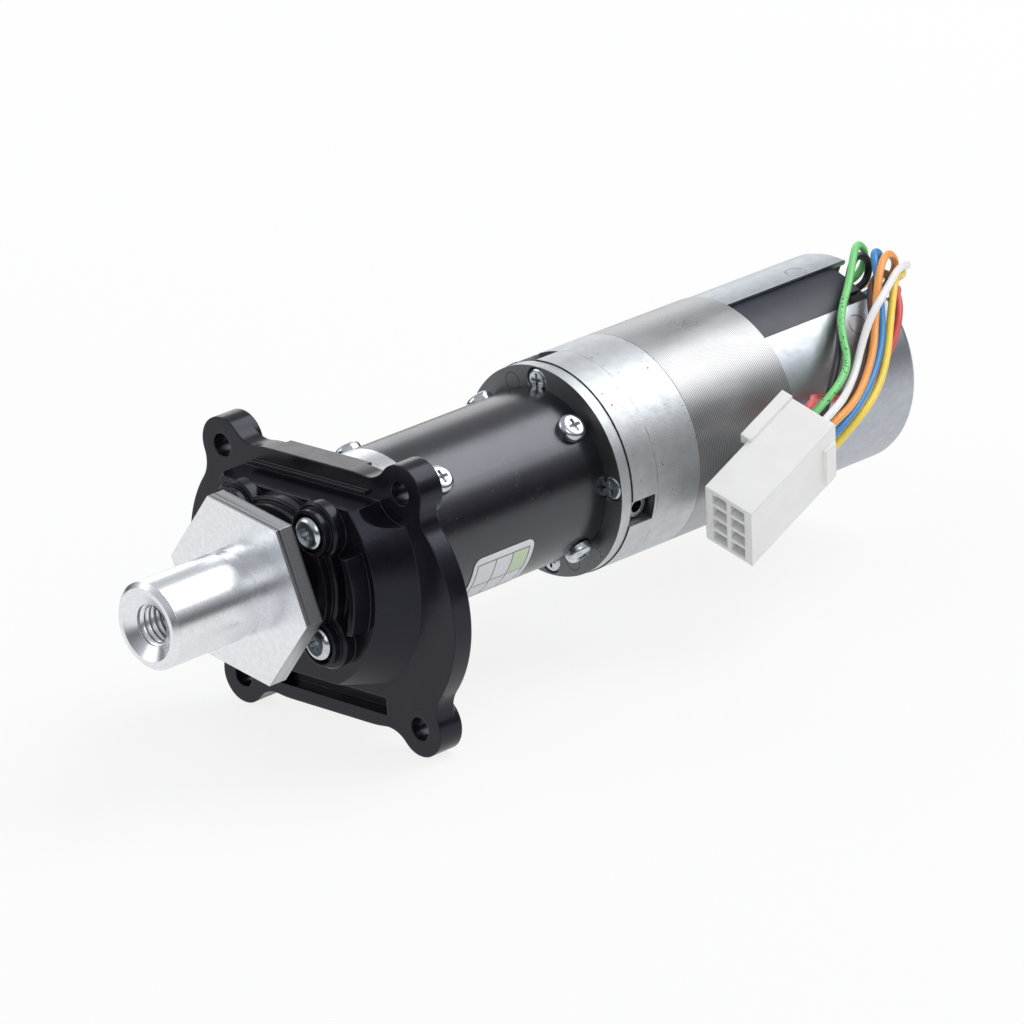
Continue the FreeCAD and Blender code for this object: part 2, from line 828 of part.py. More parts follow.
def gearbox_front_plate():
    """Cast plate with a spigot for the tube, a seat for the rear bearing and a pilot in the cast housing."""
    spigot = "tube_radius - tube_wall"
    body = turned([
        ("cap_bore", "tube_end - plate_spigot"),
        (spigot, "tube_end - plate_spigot"),
        (spigot, "tube_end"),
        ("plate_radius", "tube_end"),
        ("plate_radius", "cast_start"),
        ("cast_bore", "cast_start"),
        ("cast_bore", "cast_start + plate_pilot"),
        ("bearing_radius", "cast_start + plate_pilot"),
        ("bearing_radius", "rear_bearing_station"),
        ("cap_bore", "rear_bearing_station"),
    ])
    clip = "rear_bearing_station + bearing_width"
    seat = "tube_end + plate_screw_height"
    screw_end = f"{seat} + plate_screw_length + screw_play"
    holes = [rod("bearing_radius + circlip_bite", clip, f"{clip} + circlip_thick")]
    for angle in quarters("tube_screw_angle"):
        holes.append(
            spoke("screw_radius", "tube_screw_tip - tip_room", "tube_radius", "rear_screw_station", angle)
        )
    for angle in quarters("0"):
        x = f"plate_screw_circle / 2 * sin({angle})"
        z = f"plate_screw_circle / 2 * cos({angle})"
        holes.append(rod("screw_radius + screw_play / 2", "tube_end", screw_end, x, z))
        holes.append(rod("plate_screw_head + screw_play * 0.75", "tube_end", seat, x, z))
    for angle in window_angles():
        holes.append(
            spoke("pin_radius", "cast_bore - pin_root", "cast_bore + 1", "cast_start + pin_station", angle)
        )
    return cut(body, *holes)


def window_angles():
    """Angles of the windows in the cast housing."""
    return [f"window_angle + {360 // WINDOWS * step}" for step in range(WINDOWS)]


def bearing_circlip():
    """Split ring that keeps the rear bearing in the plate."""
    start = "rear_bearing_station + bearing_width"
    rear = f"{start} + circlip_thick"
    ring = tube("bearing_radius - circlip_width", "bearing_radius + circlip_bite", start, rear)
    gap = radial_block(
        "circlip_opening", "bearing_radius / 2", "bearing_radius + circlip_bite + 1", start, rear, "200"
    )
    return cut(ring, gap)


def plate_screws():
    """Four screws that hold the front plate to the cast housing, their heads level with the plate."""
    template = screw_template(
        "plate_screw_head", "plate_screw_height", "screw_radius", "plate_screw_length", cross_recess()
    )
    return copies(
        template,
        [axial_place("plate_screw_circle", angle, "tube_end + plate_screw_height") for angle in quarters("0")],
    )


def cast_housing():
    """Cast ring with three windows, open into the seam at the front plate."""
    body = turned([
        ("cast_bore", "cast_start"),
        ("gearbox_radius", "cast_start"),
        ("gearbox_radius", "ring_start"),
        ("joint_radius", "ring_start"),
        ("joint_radius", "ring_start + joint_depth"),
        ("cast_bore", "ring_start + joint_depth"),
    ])
    holes = []
    for angle in window_angles():
        holes.append(radial_block(
            "window_width", "cast_bore - 1", "gearbox_radius + 1", "cast_start - 1",
            "cast_start + window_length", angle,
        ))
    for angle in quarters("0"):
        x = f"plate_screw_circle / 2 * sin({angle})"
        z = f"plate_screw_circle / 2 * cos({angle})"
        depth = "tube_end + plate_screw_height + plate_screw_length"
        holes.append(rod("screw_radius", "cast_start - 1", depth, x, z))
    return cut(body, *holes)


def locating_pins():
    """Hollow pins in the windows that key the front plate to the cast housing."""
    pins = []
    for angle in window_angles():
        station = "cast_start + pin_station"
        solid = spoke("pin_radius", "cast_bore - pin_root", "gearbox_radius - pin_head_gap", station, angle)
        pins.append(cut(solid, spoke("pin_bore", "0", "gearbox_radius", station, angle)))
    return group(*pins)


def involute(angle):
    """Involute function of an angle in radians."""
    return math.tan(angle) - angle


def gear_face(teeth, tip_radius, root_radius, thinning):
    """Flat face of an involute gear about Z, with one tooth on +X. Each flank stands back by the thinning."""
    pitch_radius = size("gear_module") * teeth / 2
    pressure = math.radians(size("pressure_angle"))
    base_radius = pitch_radius * math.cos(pressure)
    half_tooth = math.pi / (2 * teeth) - thinning / pitch_radius + involute(pressure)

    def flank_point(radius, centre, side):
        roll = math.acos(min(1.0, base_radius / radius))
        angle = centre + side * (half_tooth - involute(roll))
        return Vector(radius * math.cos(angle), radius * math.sin(angle), 0)

    def polar(radius, angle):
        return Vector(radius * math.cos(angle), radius * math.sin(angle), 0)

    foot_radius = max(base_radius, root_radius)
    middle_radius = (foot_radius + tip_radius) / 2
    edges = []
    for tooth in range(teeth):
        centre = 2 * math.pi * tooth / teeth
        next_centre = 2 * math.pi * (tooth + 1) / teeth
        rise = [flank_point(r, centre, -1) for r in (foot_radius, middle_radius, tip_radius)]
        fall = [flank_point(r, centre, 1) for r in (tip_radius, middle_radius, foot_radius)]
        following = flank_point(foot_radius, next_centre, -1)
        if foot_radius > root_radius + 1e-6:
            foot_angle = math.atan2(fall[2].y, fall[2].x)
            next_angle = math.atan2(following.y, following.x)
            start_angle = math.atan2(rise[0].y, rise[0].x)
            edges.append(Part.LineSegment(polar(root_radius, start_angle), rise[0]).toShape())
            valley = (polar(root_radius, foot_angle), polar(root_radius, next_angle))
        else:
            valley = (fall[2], following)
        edges.append(Part.Arc(*rise).toShape())
        edges.append(Part.Arc(rise[2], polar(tip_radius, centre), fall[0]).toShape())
        edges.append(Part.Arc(*fall).toShape())
        if foot_radius > root_radius + 1e-6:
            edges.append(Part.LineSegment(fall[2], valley[0]).toShape())
        halfway = polar(root_radius, (centre + next_centre) / 2)
        edges.append(Part.Arc(valley[0], halfway, valley[1]).toShape())
    return Part.Face(Part.Wire(edges))


def gear_solid(teeth, width, bore):
    """Spur gear along Z with a plain bore."""
    pitch_radius = size("gear_module") * teeth / 2
    tip_radius = pitch_radius + size("tooth_addendum * gear_module")
    root_radius = pitch_radius - size("tooth_dedendum * gear_module")
    face = gear_face(teeth, tip_radius, root_radius, size("tooth_backlash / 4"))
    gear = face.extrude(Vector(0, 0, width))
    if bore > 0:
        gear = gear.cut(Part.makeCylinder(bore, width))
    return gear


def gear_feature(shape, station, x=0.0, z=0.0, turn=0.0):
    """Puts a gear that was made along Z on a line parallel to the motor axis."""
    feature = doc.addObject("Part::Feature", "Gear")
    feature.Shape = shape
    rotation = ALONG_Y.multiply(Rotation(Vector(0, 0, 1), turn))
    feature.Placement = Placement(Vector(x, size(station), z), rotation)
    return feature


def planet_angles():
    """Angles of the planets, measured from +X towards -Z."""
    return [90 + 360 / PLANETS * step for step in range(PLANETS)]


def planet_centre(angle):
    """Middle of a planet, as a pair of coordinates."""
    orbit = size("planet_orbit")
    return orbit * math.cos(math.radians(angle)), -orbit * math.sin(math.radians(angle))


def planet(width, pin_radius, station, angle):
    """Planet gear on its pin, turned so that gaps face the sun and the ring."""
    x, z = planet_centre(angle)
    shape = gear_solid(PLANET_TEETH, size(width), size(f"{pin_radius} + running_fit"))
    return gear_feature(shape, station, x, z, angle + 180 / PLANET_TEETH)


def ring_gear():
    """Steel ring whose inner teeth carry both planetary stages."""
    tip_radius = size("pitch_ring - tooth_addendum * gear_module")
    toothed = size("ring_length - 2 * joint_depth")
    space = gear_face(RING_TEETH, size("ring_root"), tip_radius, -size("tooth_backlash / 4"))
    half_pitch = Rotation(Vector(0, 0, 1), 180 / RING_TEETH)
    space.Placement = Placement(Vector(0, 0, size("joint_depth") - 0.5), half_pitch)
    shell = Part.makeCylinder(size("gearbox_radius"), size("ring_length"))
    shell = shell.cut(space.extrude(Vector(0, 0, toothed + 1)))
    joint = Part.makeCylinder(size("joint_radius"), size("joint_depth"))
    shell = shell.cut(joint)
    rear_joint = joint.copy()
    rear_joint.translate(Vector(0, 0, size("ring_length - joint_depth")))
    return gear_feature(shell.cut(rear_joint), "ring_start")


def carrier_pins(radius, start, end):
    """Pins on which one stage's planets turn."""
    pins = []
    for angle in planet_angles():
        x = f"planet_orbit * cos({angle})"
        z = f"-planet_orbit * sin({angle})"
        pins.append(rod(radius, start, end, x, z))
    return group(*pins)


def carrier_disc(body, radius, start, end):
    """Cuts the seats of the pins into a carrier."""
    holes = []
    for angle in planet_angles():
        x = f"planet_orbit * cos({angle})"
        z = f"-planet_orbit * sin({angle})"
        holes.append(rod(radius, start, end, x, z))
    return cut(body, *holes)


def output_carrier():
    """Disc with a long boss that drives the output shaft."""
    disc_end = "output_carrier_start + output_carrier_thick"
    boss_start = "rear_bearing_station + bearing_width"
    body = turned([
        ("shaft_nose_radius", boss_start),
        ("carrier_boss_radius", boss_start),
        ("carrier_boss_radius", "output_carrier_start"),
        ("carrier_radius", "output_carrier_start"),
        ("carrier_radius", disc_end),
        ("shaft_nose_radius", disc_end),
    ])
    return carrier_disc(body, "output_pin_radius", "output_carrier_start", disc_end)


def first_carrier():
    """Disc that carries the first stage's planets and the second stage's sun."""
    disc_end = "first_carrier_start + first_carrier_thick"
    body = tube("sun_neck_radius", "carrier_radius", "first_carrier_start", disc_end)
    return carrier_disc(body, "first_pin_radius", "first_carrier_start", disc_end)


def second_sun():
    """Sun of the output stage, on a neck that is pressed into the first carrier."""
    start = "output_gear_start"
    length = size("output_gear_width - sun_play")
    shape = gear_solid(SUN_TEETH, length, 0)
    neck_end = size("output_gear_width + gear_gap + first_carrier_thick")
    neck = Part.makeCylinder(size("sun_neck_radius"), neck_end - length, Vector(0, 0, length))
    return gear_feature(shape.fuse(neck).removeSplitter(), start)


def first_sun():
    """Sun on the motor shaft."""
    shape = gear_solid(SUN_TEETH, size("first_gear_width"), size("motor_shaft_radius"))
    return gear_feature(shape, "first_gear_start")


# Motor

def slot_notch(floor, start, end):
    """Tool for a flat notch in line with the slot of the sleeve."""
    return radial_block("slot_width", floor, "sleeve_radius + 2", start, end, "slot_angle")


def cover_notch(play, start, end):
    """Tool that clears the slot cover, round like the cover itself."""
    notch = slot_notch("sleeve_bore / 2", start, end)
    return cut(notch, rod(f"sleeve_radius - cover_drop - cover_thick - {play}", start, end))


def motor_adapter():
    """Disc between the gearbox and the motor that holds the motor's front bearing."""
    body = turned([
        ("motor_shaft_radius * 2", "adapter_start"),
        ("joint_radius", "adapter_start"),
        ("joint_radius", "ring_end"),
        ("sleeve_bore", "ring_end"),
        ("sleeve_bore", "adapter_end"),
        ("motor_bearing_radius", "adapter_end"),
        ("motor_bearing_radius", "adapter_bearing_station"),
        ("motor_shaft_radius * 2", "adapter_bearing_station"),
    ])
    return cut(body, cover_notch("cover_play", "ring_end", "adapter_end + 1"))


def motor_sleeve():
    """Zinc plated steel sleeve, open along one side, with a rounded rear rim."""
    body = turned([
        ("sleeve_bore", "ring_end"),
        ("sleeve_radius", "ring_end"),
        ("sleeve_radius", "sleeve_end - sleeve_rim * 2"),
        ("sleeve_radius - sleeve_rim * 0.3", "sleeve_end - sleeve_rim"),
        ("sleeve_radius - sleeve_rim", "sleeve_end"),
        ("sleeve_bore", "sleeve_end"),
    ])
    return cut(body, slot_notch("sleeve_bore / 2", "ring_end - 1", "sleeve_end + 1"))


def slot_cover():
    """Plastic strip that closes the slot of the sleeve, with a step at its rear end."""
    outer = "sleeve_radius - cover_drop"
    shell = tube(f"{outer} - cover_thick", outer, "ring_end", "ring_end + cover_length")
    strip = radial_block(
        "slot_width - cover_play", "sleeve_bore / 2", "sleeve_radius + 1", "ring_end",
        "ring_end + cover_length", "slot_angle",
    )
    step = radial_block(
        "slot_width / 2", "sleeve_bore / 2", "sleeve_radius + 1", "ring_end + cover_length - cover_step",
        "ring_end + cover_length + 1", "slot_angle + 15.4",
    )
    return cut(common(shell, strip), step)


def stator_core():
    """Stack of steel sheets: a ring with nine teeth and their pole shoes."""
    angles = [360 / STATOR_TEETH * step for step in range(STATOR_TEETH)]
    yoke = rod("sleeve_bore - 0.05", "stator_front", "stator_rear")
    hollow = rod("sleeve_bore - stator_yoke", "stator_front - 1", "stator_rear + 1")
    teeth = []
    for angle in angles:
        teeth.append(radial_block(
            "stator_tooth_width", "stator_bore - 1", "sleeve_bore - stator_yoke / 2", "stator_front",
            "stator_rear", angle,
        ))
        teeth.append(radial_block(
            "stator_shoe_width", "stator_bore - 1", "stator_bore + stator_shoe_thick", "stator_front",
            "stator_rear", angle,
        ))
    solid = fuse(cut(yoke, hollow), *teeth)
    bore = rod("stator_bore", "stator_front - 1", "stator_rear + 1")
    return cut(solid, bore, cover_notch("cover_play", "stator_front - 1", "stator_rear + 1"))


def stator_coils():
    """Nine wound coils, one round each tooth of the stator."""
    coils = []
    for step in range(STATOR_TEETH):
        angle = 360 / STATOR_TEETH * step
        coil = radial_block(
            "coil_width", "coil_inner", "coil_inner + coil_depth", "stator_front - coil_overhang",
            "stator_rear + coil_overhang", angle,
        )
        tooth = radial_block(
            "stator_tooth_width", "stator_bore", "sleeve_bore", "stator_front", "stator_rear", angle
        )
        coils.append(cut(coil, tooth))
    return group(*coils)


def hall_board():
    """Round circuit board behind the stator."""
    board = tube("board_inner", "sleeve_bore - board_play", "board_front", "board_rear")
    tools = [slot_notch("grommet_inner", "board_front - 1", "board_rear + 1")]
    for angle in board_screw_angles():
        x = f"board_screw_circle / 2 * sin({angle})"
        z = f"board_screw_circle / 2 * cos({angle})"
        tools.append(rod("board_screw_radius + screw_play / 2", "board_front - 1", "board_rear + 1", x, z))
    return cut(board, *tools)


def hall_sensors():
    """Three sensors on the board that face the end of the magnet."""
    sensors = []
    for step in range(3):
        sensors.append(radial_block(
            "sensor_width", "sensor_circle / 2 - sensor_height / 2", "sensor_circle / 2 + sensor_height / 2",
            "board_front - sensor_thick", "board_front", f"slot_angle + {120 * step}",
        ))
    return group(*sensors)


def board_screw_angles():
    """Angles of the screws that hold the board, clear of the slot."""
    return [f"slot_angle + {60 + 360 // BOARD_SCREWS * step}" for step in range(BOARD_SCREWS)]


def board_screws():
    """Three small screws that hold the board to the end bell."""
    template = screw_template(
        "board_screw_head", "board_screw_height", "board_screw_radius", "board_screw_length",
        [(f"{x} * 0.6", f"{z} * 0.6") for x, z in cross_recess()],
    )
    return copies(
        template, [axial_place("board_screw_circle", angle, "board_front") for angle in board_screw_angles()]
    )


def rear_end_bell():
    """Moulded end of the motor with the rear bearing and a notch for the wires."""
    body = turned([
        ("motor_bearing_radius", "board_rear"),
        ("sleeve_bore - bell_play", "board_rear"),
        ("sleeve_bore - bell_play", "bell_end"),
        ("motor_shaft_radius * 2", "bell_end"),
        ("motor_shaft_radius * 2", "bell_bearing_station + motor_bearing_width"),
        ("motor_bearing_radius", "bell_bearing_station + motor_bearing_width"),
    ])
    tools = [slot_notch("grommet_inner", "board_rear - 1", "bell_end + 1")]
    for angle in board_screw_angles():
        x = f"board_screw_circle / 2 * sin({angle})"
        z = f"board_screw_circle / 2 * cos({angle})"
        tools.append(
            rod("board_screw_radius", "board_rear - 1", "board_front + board_screw_length + screw_play", x, z)
        )
    return cut(body, *tools)


def wire_grommet():
    """Rubber block in the notch of the end bell that the wires leave from."""
    return radial_block(
        "slot_width - cover_play", "grommet_inner", "grommet_outer - cover_drop", "board_rear", "bell_end",
        "slot_angle",
    )


def rotor_shaft():
    """Motor shaft from the first sun to the rear bearing."""
    return rod("motor_shaft_radius", "first_gear_start", "bell_bearing_station + motor_bearing_width")


def rotor_core():
    """Steel core between the shaft and the magnet."""
    return tube(
        "motor_shaft_radius", "magnet_radius - magnet_thick", "rotor_front", "rotor_front + rotor_length"
    )


def rotor_magnet():
    """Ring magnet of the rotor."""
    return tube("magnet_radius - magnet_thick", "magnet_radius", "rotor_front", "rotor_front + rotor_length")


def motor_bearing(piece):
    """Outer or inner rings of the two small motor bearings."""
    rings = []
    for station in ("adapter_bearing_station", "bell_bearing_station"):
        if piece == "outer":
            rings.append(bearing_outer(
                "motor_bearing_radius", "motor_shaft_radius", "motor_bearing_race",
                "motor_bearing_width", station,
            ))
        else:
            rings.append(bearing_inner(
                "motor_shaft_radius", "motor_bearing_race", "motor_bearing_width", station
            ))
    return group(*rings)


# Plug. It is modelled square to its own axes: X across, Y from the mouth to the wires, Z up.

PLUG_CENTRE = Vector(30.0, 87.5, -5.0)
PLUG_ACROSS = Vector(0.904, 0.171, -0.393)
PLUG_ALONG = Vector(0.012, 0.906, 0.423)
PLUG_TURN = Rotation(PLUG_ACROSS, PLUG_ALONG, Vector(0, 0, 1), "YXZ")
PLUG_PLACE = Placement(PLUG_CENTRE, PLUG_TURN)
COLUMNS = (-0.5, 0.5)
ROWS = (-1.5, -0.5, 0.5, 1.5)


def moved_to_plug(feature):
    """Carries a shape from the plug's own axes to where the plug lies."""
    carrier = doc.addObject("Part::Compound", "Carried")
    carrier.Links = [feature]
    carrier.Placement = PLUG_PLACE
    return carrier


def plug_cells(width, height, start, end):
    """Row of boxes, one in each cell of the plug."""
    return [
        block(
            f"{column} * contact_column - {width} / 2", f"{column} * contact_column + {width} / 2", start, end,
            f"{row} * contact_pitch - {height} / 2", f"{row} * contact_pitch + {height} / 2",
        )
        for column in COLUMNS
        for row in ROWS
    ]


def connector_housing():
    """White plug housing with eight cells, a latch block on its upper edge and a collar at the wires."""
    shell = block(
        "-plug_width / 2", "plug_width / 2", "-plug_length / 2", "plug_length / 2",
        "-plug_height / 2", "plug_height / 2",
    )
    latch = block(
        "-plug_width / 2 - latch_reach", "-plug_width / 2 - latch_reach + latch_width",
        "plug_length / 2 - latch_length", "plug_length / 2",
        "plug_height / 2 - latch_height", "plug_height / 2 + latch_rise",
    )
    collar = block(
        "plug_width / 2 - plug_wall", "plug_width / 2 + plug_rib",
        "plug_length / 2 - plug_wall - plug_rib_length", "plug_length / 2 - plug_wall",
        "-plug_height / 2 + plug_rib_low", "plug_height / 2 - plug_rib_high",
    )
    cells = plug_cells(
        "(contact_column - plug_wall)", "(contact_pitch - plug_wall)", "-plug_length / 2 - 1",
        "plug_length / 2 - plug_floor",
    )
    return moved_to_plug(cut(fuse(shell, latch, collar), *cells))


def connector_contacts():
    """Eight crimped contacts, one in each cell."""
    cells = plug_cells(
        "contact_width", "contact_width", "plug_length / 2 - plug_floor - contact_length",
        "plug_length / 2 - plug_floor",
    )
    return moved_to_plug(group(*cells))


# Wires. Each route starts in the rear face of the grommet, turns back over the rim of the sleeve, lies along
# its side, and ends square to the rear face of the plug. A wire is 1.5 mm thick with its insulation.

ROUTES = {
    "green": [
        (3.8, 136.9, 15.5), (3.8, 139.8, 15.5), (4.4, 142.2, 17.8), (5.2, 142.1, 21.1), (5.7, 139.6, 23.4),
        (8.6, 135.4, 23.2), (12.7, 129.4, 19.3), (16.8, 122.5, 16.4), (20.3, 118.7, 13.9), (24.8, 115.3, 9.3),
        (28.0, 108.6, 6.6), (29.16, 102.97, 5.16), (29.09, 98.07, 2.88),
    ],
    "black": [
        (5.9, 136.9, 14.5), (5.9, 139.7, 14.5), (6.3, 141.8, 16.5), (7.0, 141.7, 19.5), (7.8, 138.8, 21.8),
        (11.3, 133.6, 19.7), (16.7, 126.5, 16.1), (20.3, 119.5, 11.2), (22.8, 113.6, 7.2), (25.4, 108.6, 4.2),
        (27.49, 104.48, 1.97), (27.42, 99.58, -0.31),
    ],
    "blue": [
        (8.0, 136.9, 13.5), (8.0, 140.2, 13.5), (8.5, 143.0, 16.2), (9.5, 142.7, 20.6), (11.0, 139.0, 22.6),
        (15.8, 134.8, 18.9), (20.0, 130.4, 12.9), (23.2, 126.0, 8.7), (26.7, 119.6, 5.2), (29.4, 112.2, 2.1),
        (31.28, 105.19, 0.32), (31.22, 100.30, -1.96),
    ],
    "brown": [
        (10.0, 136.9, 12.4), (10.0, 139.9, 12.4), (10.6, 141.9, 14.3), (11.8, 141.7, 17.4), (12.2, 138.4, 19.0),
        (14.0, 132.5, 17.9), (19.2, 125.5, 13.0), (22.9, 118.8, 5.7), (24.4, 113.4, 0.9), (25.82, 105.98, -1.21),
        (25.75, 101.09, -3.50),
    ],
    "orange": [
        (6.8, 136.9, 11.1), (6.8, 140.8, 11.1), (8.6, 144.6, 14.5), (11.2, 144.5, 19.3), (13.3, 139.6, 23.2),
        (17.5, 132.6, 21.2), (20.1, 127.6, 14.2), (23.6, 122.9, 9.7), (27.2, 116.0, 5.5), (29.9, 109.8, 3.4),
        (32.95, 103.68, 3.51), (32.89, 98.79, 1.22),
    ],
    "red": [
        (8.9, 136.9, 10.1), (8.9, 141.3, 10.1), (10.3, 143.4, 11.7), (12.4, 143.3, 14.0), (13.8, 140.6, 15.6),
        (18.0, 137.6, 13.4), (20.6, 133.2, 9.0), (22.0, 128.0, 5.5), (22.2, 122.2, 1.6), (22.1, 116.4, 2.3),
        (21.8, 110.9, 5.2), (24.6, 106.6, 7.0), (30.81, 99.80, 7.57), (30.76, 96.56, 6.06),
    ],
    "yellow": [
        (4.8, 136.9, 12.2), (4.8, 143.0, 12.2), (7.5, 146.3, 14.0), (11.6, 146.2, 16.6), (14.4, 140.6, 18.4),
        (17.6, 136.0, 15.4), (20.5, 131.8, 11.6), (23.9, 127.2, 7.9), (27.0, 121.5, 3.9), (29.6, 114.5, 1.2),
        (29.61, 106.70, -2.86), (29.55, 101.81, -5.15),
    ],
    "white": [
        (2.7, 136.9, 13.2), (2.7, 143.6, 13.2), (6.4, 147.8, 15.2), (11.7, 147.7, 18.0), (15.4, 140.4, 20.0),
        (20.8, 131.0, 18.8), (22.2, 125.0, 15.7), (23.5, 120.6, 11.3), (25.6, 116.4, 7.5), (28.8, 110.4, 5.7),
        (34.62, 102.17, 6.70), (34.56, 97.28, 4.41),
    ],
}
BEND_SHARE = 0.45


def bend(before, corner, after):
    """Arc that rounds one corner of a route, and its radius."""
    back = before - corner
    ahead = after - corner
    reach = BEND_SHARE * min(back.Length, ahead.Length)
    back.normalize()
    ahead.normalize()
    half_turn = (math.pi - back.getAngle(ahead)) / 2
    radius = reach / math.tan(half_turn)
    inward = (back + ahead).normalize()
    middle = corner + inward * (radius / math.cos(half_turn) - radius)
    return Part.Arc(corner + back * reach, middle, corner + ahead * reach), radius


def wire(colour):
    """Wire as a tube along straight runs joined by tangent arcs."""
    points = [Vector(*point) for point in ROUTES[colour]]
    edges = []
    radii = []
    start = points[0]
    for before, corner, after in zip(points, points[1:], points[2:]):
        arc, radius = bend(before, corner, after)
        edges.append(Part.LineSegment(start, arc.StartPoint).toShape())
        edges.append(arc.toShape())
        start = arc.EndPoint
        radii.append(radius)
    edges.append(Part.LineSegment(start, points[-1]).toShape())
    path = Part.Wire(edges)
    radius = size("wire_radius")
    profile = Part.Wire([Part.Circle(points[0], points[1] - points[0], radius).toShape()])
    feature = doc.addObject("Part::Feature", "Wire")
    feature.Shape = path.makePipeShell([profile], True, False)
    expected = math.pi * radius ** 2 * path.Length
    print(f"wire {colour}: length {path.Length:.1f}, volume {feature.Shape.Volume / expected:.4f} of expected")
    print("    bend radii", " ".join(f"{bend_radius:.1f}" for bend_radius in radii))
    return feature


# Assembly of the sub-parts

def build_sub_parts():
    """Makes every sub-part and names it."""
    finish("mounting_flange", mounting_flange())
    finish("flange_screws", flange_screws())
    finish("front_cap", front_cap())
    finish("gearbox_tube", gearbox_tube())
    tube_screw = screw_template(
        "pan_head_radius", "pan_head_height", "screw_radius", "(tube_radius - tube_screw_tip)", cross_recess()
    )
    finish("front_tube_screws", tube_screws(tube_screw, "front_screw_station"))
    finish("rear_tube_screws", tube_screws(tube_screw, "rear_screw_station"))
    finish("rating_label", rating_label())
    finish("output_hub", output_hub())
    finish("output_shaft", output_shaft())
    finish("hub_key", hub_key())
    finish("shaft_seal", shaft_seal())
    for label, station in (
        ("front_bearing", "front_bearing_station"),
        ("rear_bearing", "rear_bearing_station"),
    ):
        finish(f"{label}_outer", bearing_outer(
            "bearing_radius", "shaft_radius", "bearing_race", "bearing_width", station
        ))
        finish(f"{label}_inner", bearing_inner("shaft_radius", "bearing_race", "bearing_width", station))
    finish("gearbox_front_plate", gearbox_front_plate())
    finish("bearing_circlip", bearing_circlip())
    finish("plate_screws", plate_screws())
    finish("cast_housing", cast_housing())
    finish("locating_pins", locating_pins())
    finish("ring_gear", ring_gear())
    finish("output_carrier", output_carrier())
    finish("output_carrier_pins", carrier_pins(
        "output_pin_radius", "output_carrier_start", "output_gear_start + output_gear_width + gear_gap / 2"
    ))
    finish("first_carrier", first_carrier())
    finish("first_carrier_pins", carrier_pins(
        "first_pin_radius", "first_carrier_start", "first_gear_start + first_gear_width + gear_gap / 4"
    ))
    finish("second_sun", second_sun())
    finish("first_sun", first_sun())
    for number, angle in enumerate(planet_angles(), start=1):
        finish(f"output_planet_{number}", planet(
            "output_gear_width", "output_pin_radius", "output_gear_start", angle
        ))
        finish(f"first_planet_{number}", planet(
            "first_gear_width", "first_pin_radius", "first_gear_start", angle
        ))
    finish("motor_adapter", motor_adapter())
    finish("motor_sleeve", motor_sleeve())
    finish("slot_cover", slot_cover())
    finish("stator_core", stator_core())
    finish("stator_coils", stator_coils())
    finish("hall_board", hall_board())
    finish("hall_sensors", hall_sensors())
    finish("board_screws", board_screws())
    finish("rear_end_bell", rear_end_bell())
    finish("wire_grommet", wire_grommet())
    finish("rotor_shaft", rotor_shaft())
    finish("rotor_core", rotor_core())
    finish("rotor_magnet", rotor_magnet())
    finish("motor_bearing_outers", motor_bearing("outer"))
    finish("motor_bearing_inners", motor_bearing("inner"))
    finish("connector_housing", connector_housing())
    finish("connector_contacts", connector_contacts())
    for colour in ROUTES:
        finish(f"wire_{colour}", wire(colour))


def check_and_write():
    """Stops if anything failed, then writes each sub-part."""
    for item in doc.Objects:
        if "Invalid" in item.State or "Error" in item.State:
            raise RuntimeError(f"{item.Name} ({item.Label}) is {item.State}")
    for label, feature in SUB_PARTS.items():
        shape = feature.Shape
        if shape.isNull() or not shape.isValid() or not shape.Solids:
            raise RuntimeError(f"{label} has no valid solid")
    for label, feature in SUB_PARTS.items():
        feature.Shape.exportStep(f"parts/{label}.step")
        print(label, len(feature.Shape.Solids), round(feature.Shape.Volume, 2))


build_sub_parts()
doc.recompute()
check_and_write()
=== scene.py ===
import logging
import math
from dataclasses import dataclass, field
from enum import Enum
from typing import Protocol

import bmesh
import bpy
from mathutils import Matrix, Vector


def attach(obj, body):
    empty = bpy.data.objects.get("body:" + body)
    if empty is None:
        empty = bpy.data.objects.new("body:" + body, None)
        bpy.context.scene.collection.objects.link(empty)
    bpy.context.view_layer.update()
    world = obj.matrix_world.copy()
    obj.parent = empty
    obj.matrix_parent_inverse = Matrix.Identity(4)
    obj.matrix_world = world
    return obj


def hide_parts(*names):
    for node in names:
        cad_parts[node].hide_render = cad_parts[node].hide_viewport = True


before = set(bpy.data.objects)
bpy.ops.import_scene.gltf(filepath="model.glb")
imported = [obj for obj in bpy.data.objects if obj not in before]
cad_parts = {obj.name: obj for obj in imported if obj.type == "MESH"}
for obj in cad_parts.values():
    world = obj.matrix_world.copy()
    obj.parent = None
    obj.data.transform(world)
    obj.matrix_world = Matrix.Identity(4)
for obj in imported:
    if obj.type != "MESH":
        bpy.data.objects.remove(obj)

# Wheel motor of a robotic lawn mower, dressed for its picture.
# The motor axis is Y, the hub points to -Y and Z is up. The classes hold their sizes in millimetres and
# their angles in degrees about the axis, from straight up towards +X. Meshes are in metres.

LOG = logging.getLogger("wheel_motor")
MM = 0.001
# The wave texture runs through this many radians to the unit.
WAVE_RADIANS = 20.0

Colour = tuple[float, float, float, float]
Point = tuple[float, float, float]
Socket = bpy.types.NodeSocket
Materials = dict[str, bpy.types.Material]


class Body(Enum):
    """Bodies of the part that the pieces made here ride on."""

    HOUSING = "housing"
    OUTPUT = "output"


class Marks(Enum):
    """Ways in which turning marks run."""

    ROUND_THE_AXIS = "BANDS"
    RINGS_ON_A_FACE = "RINGS"


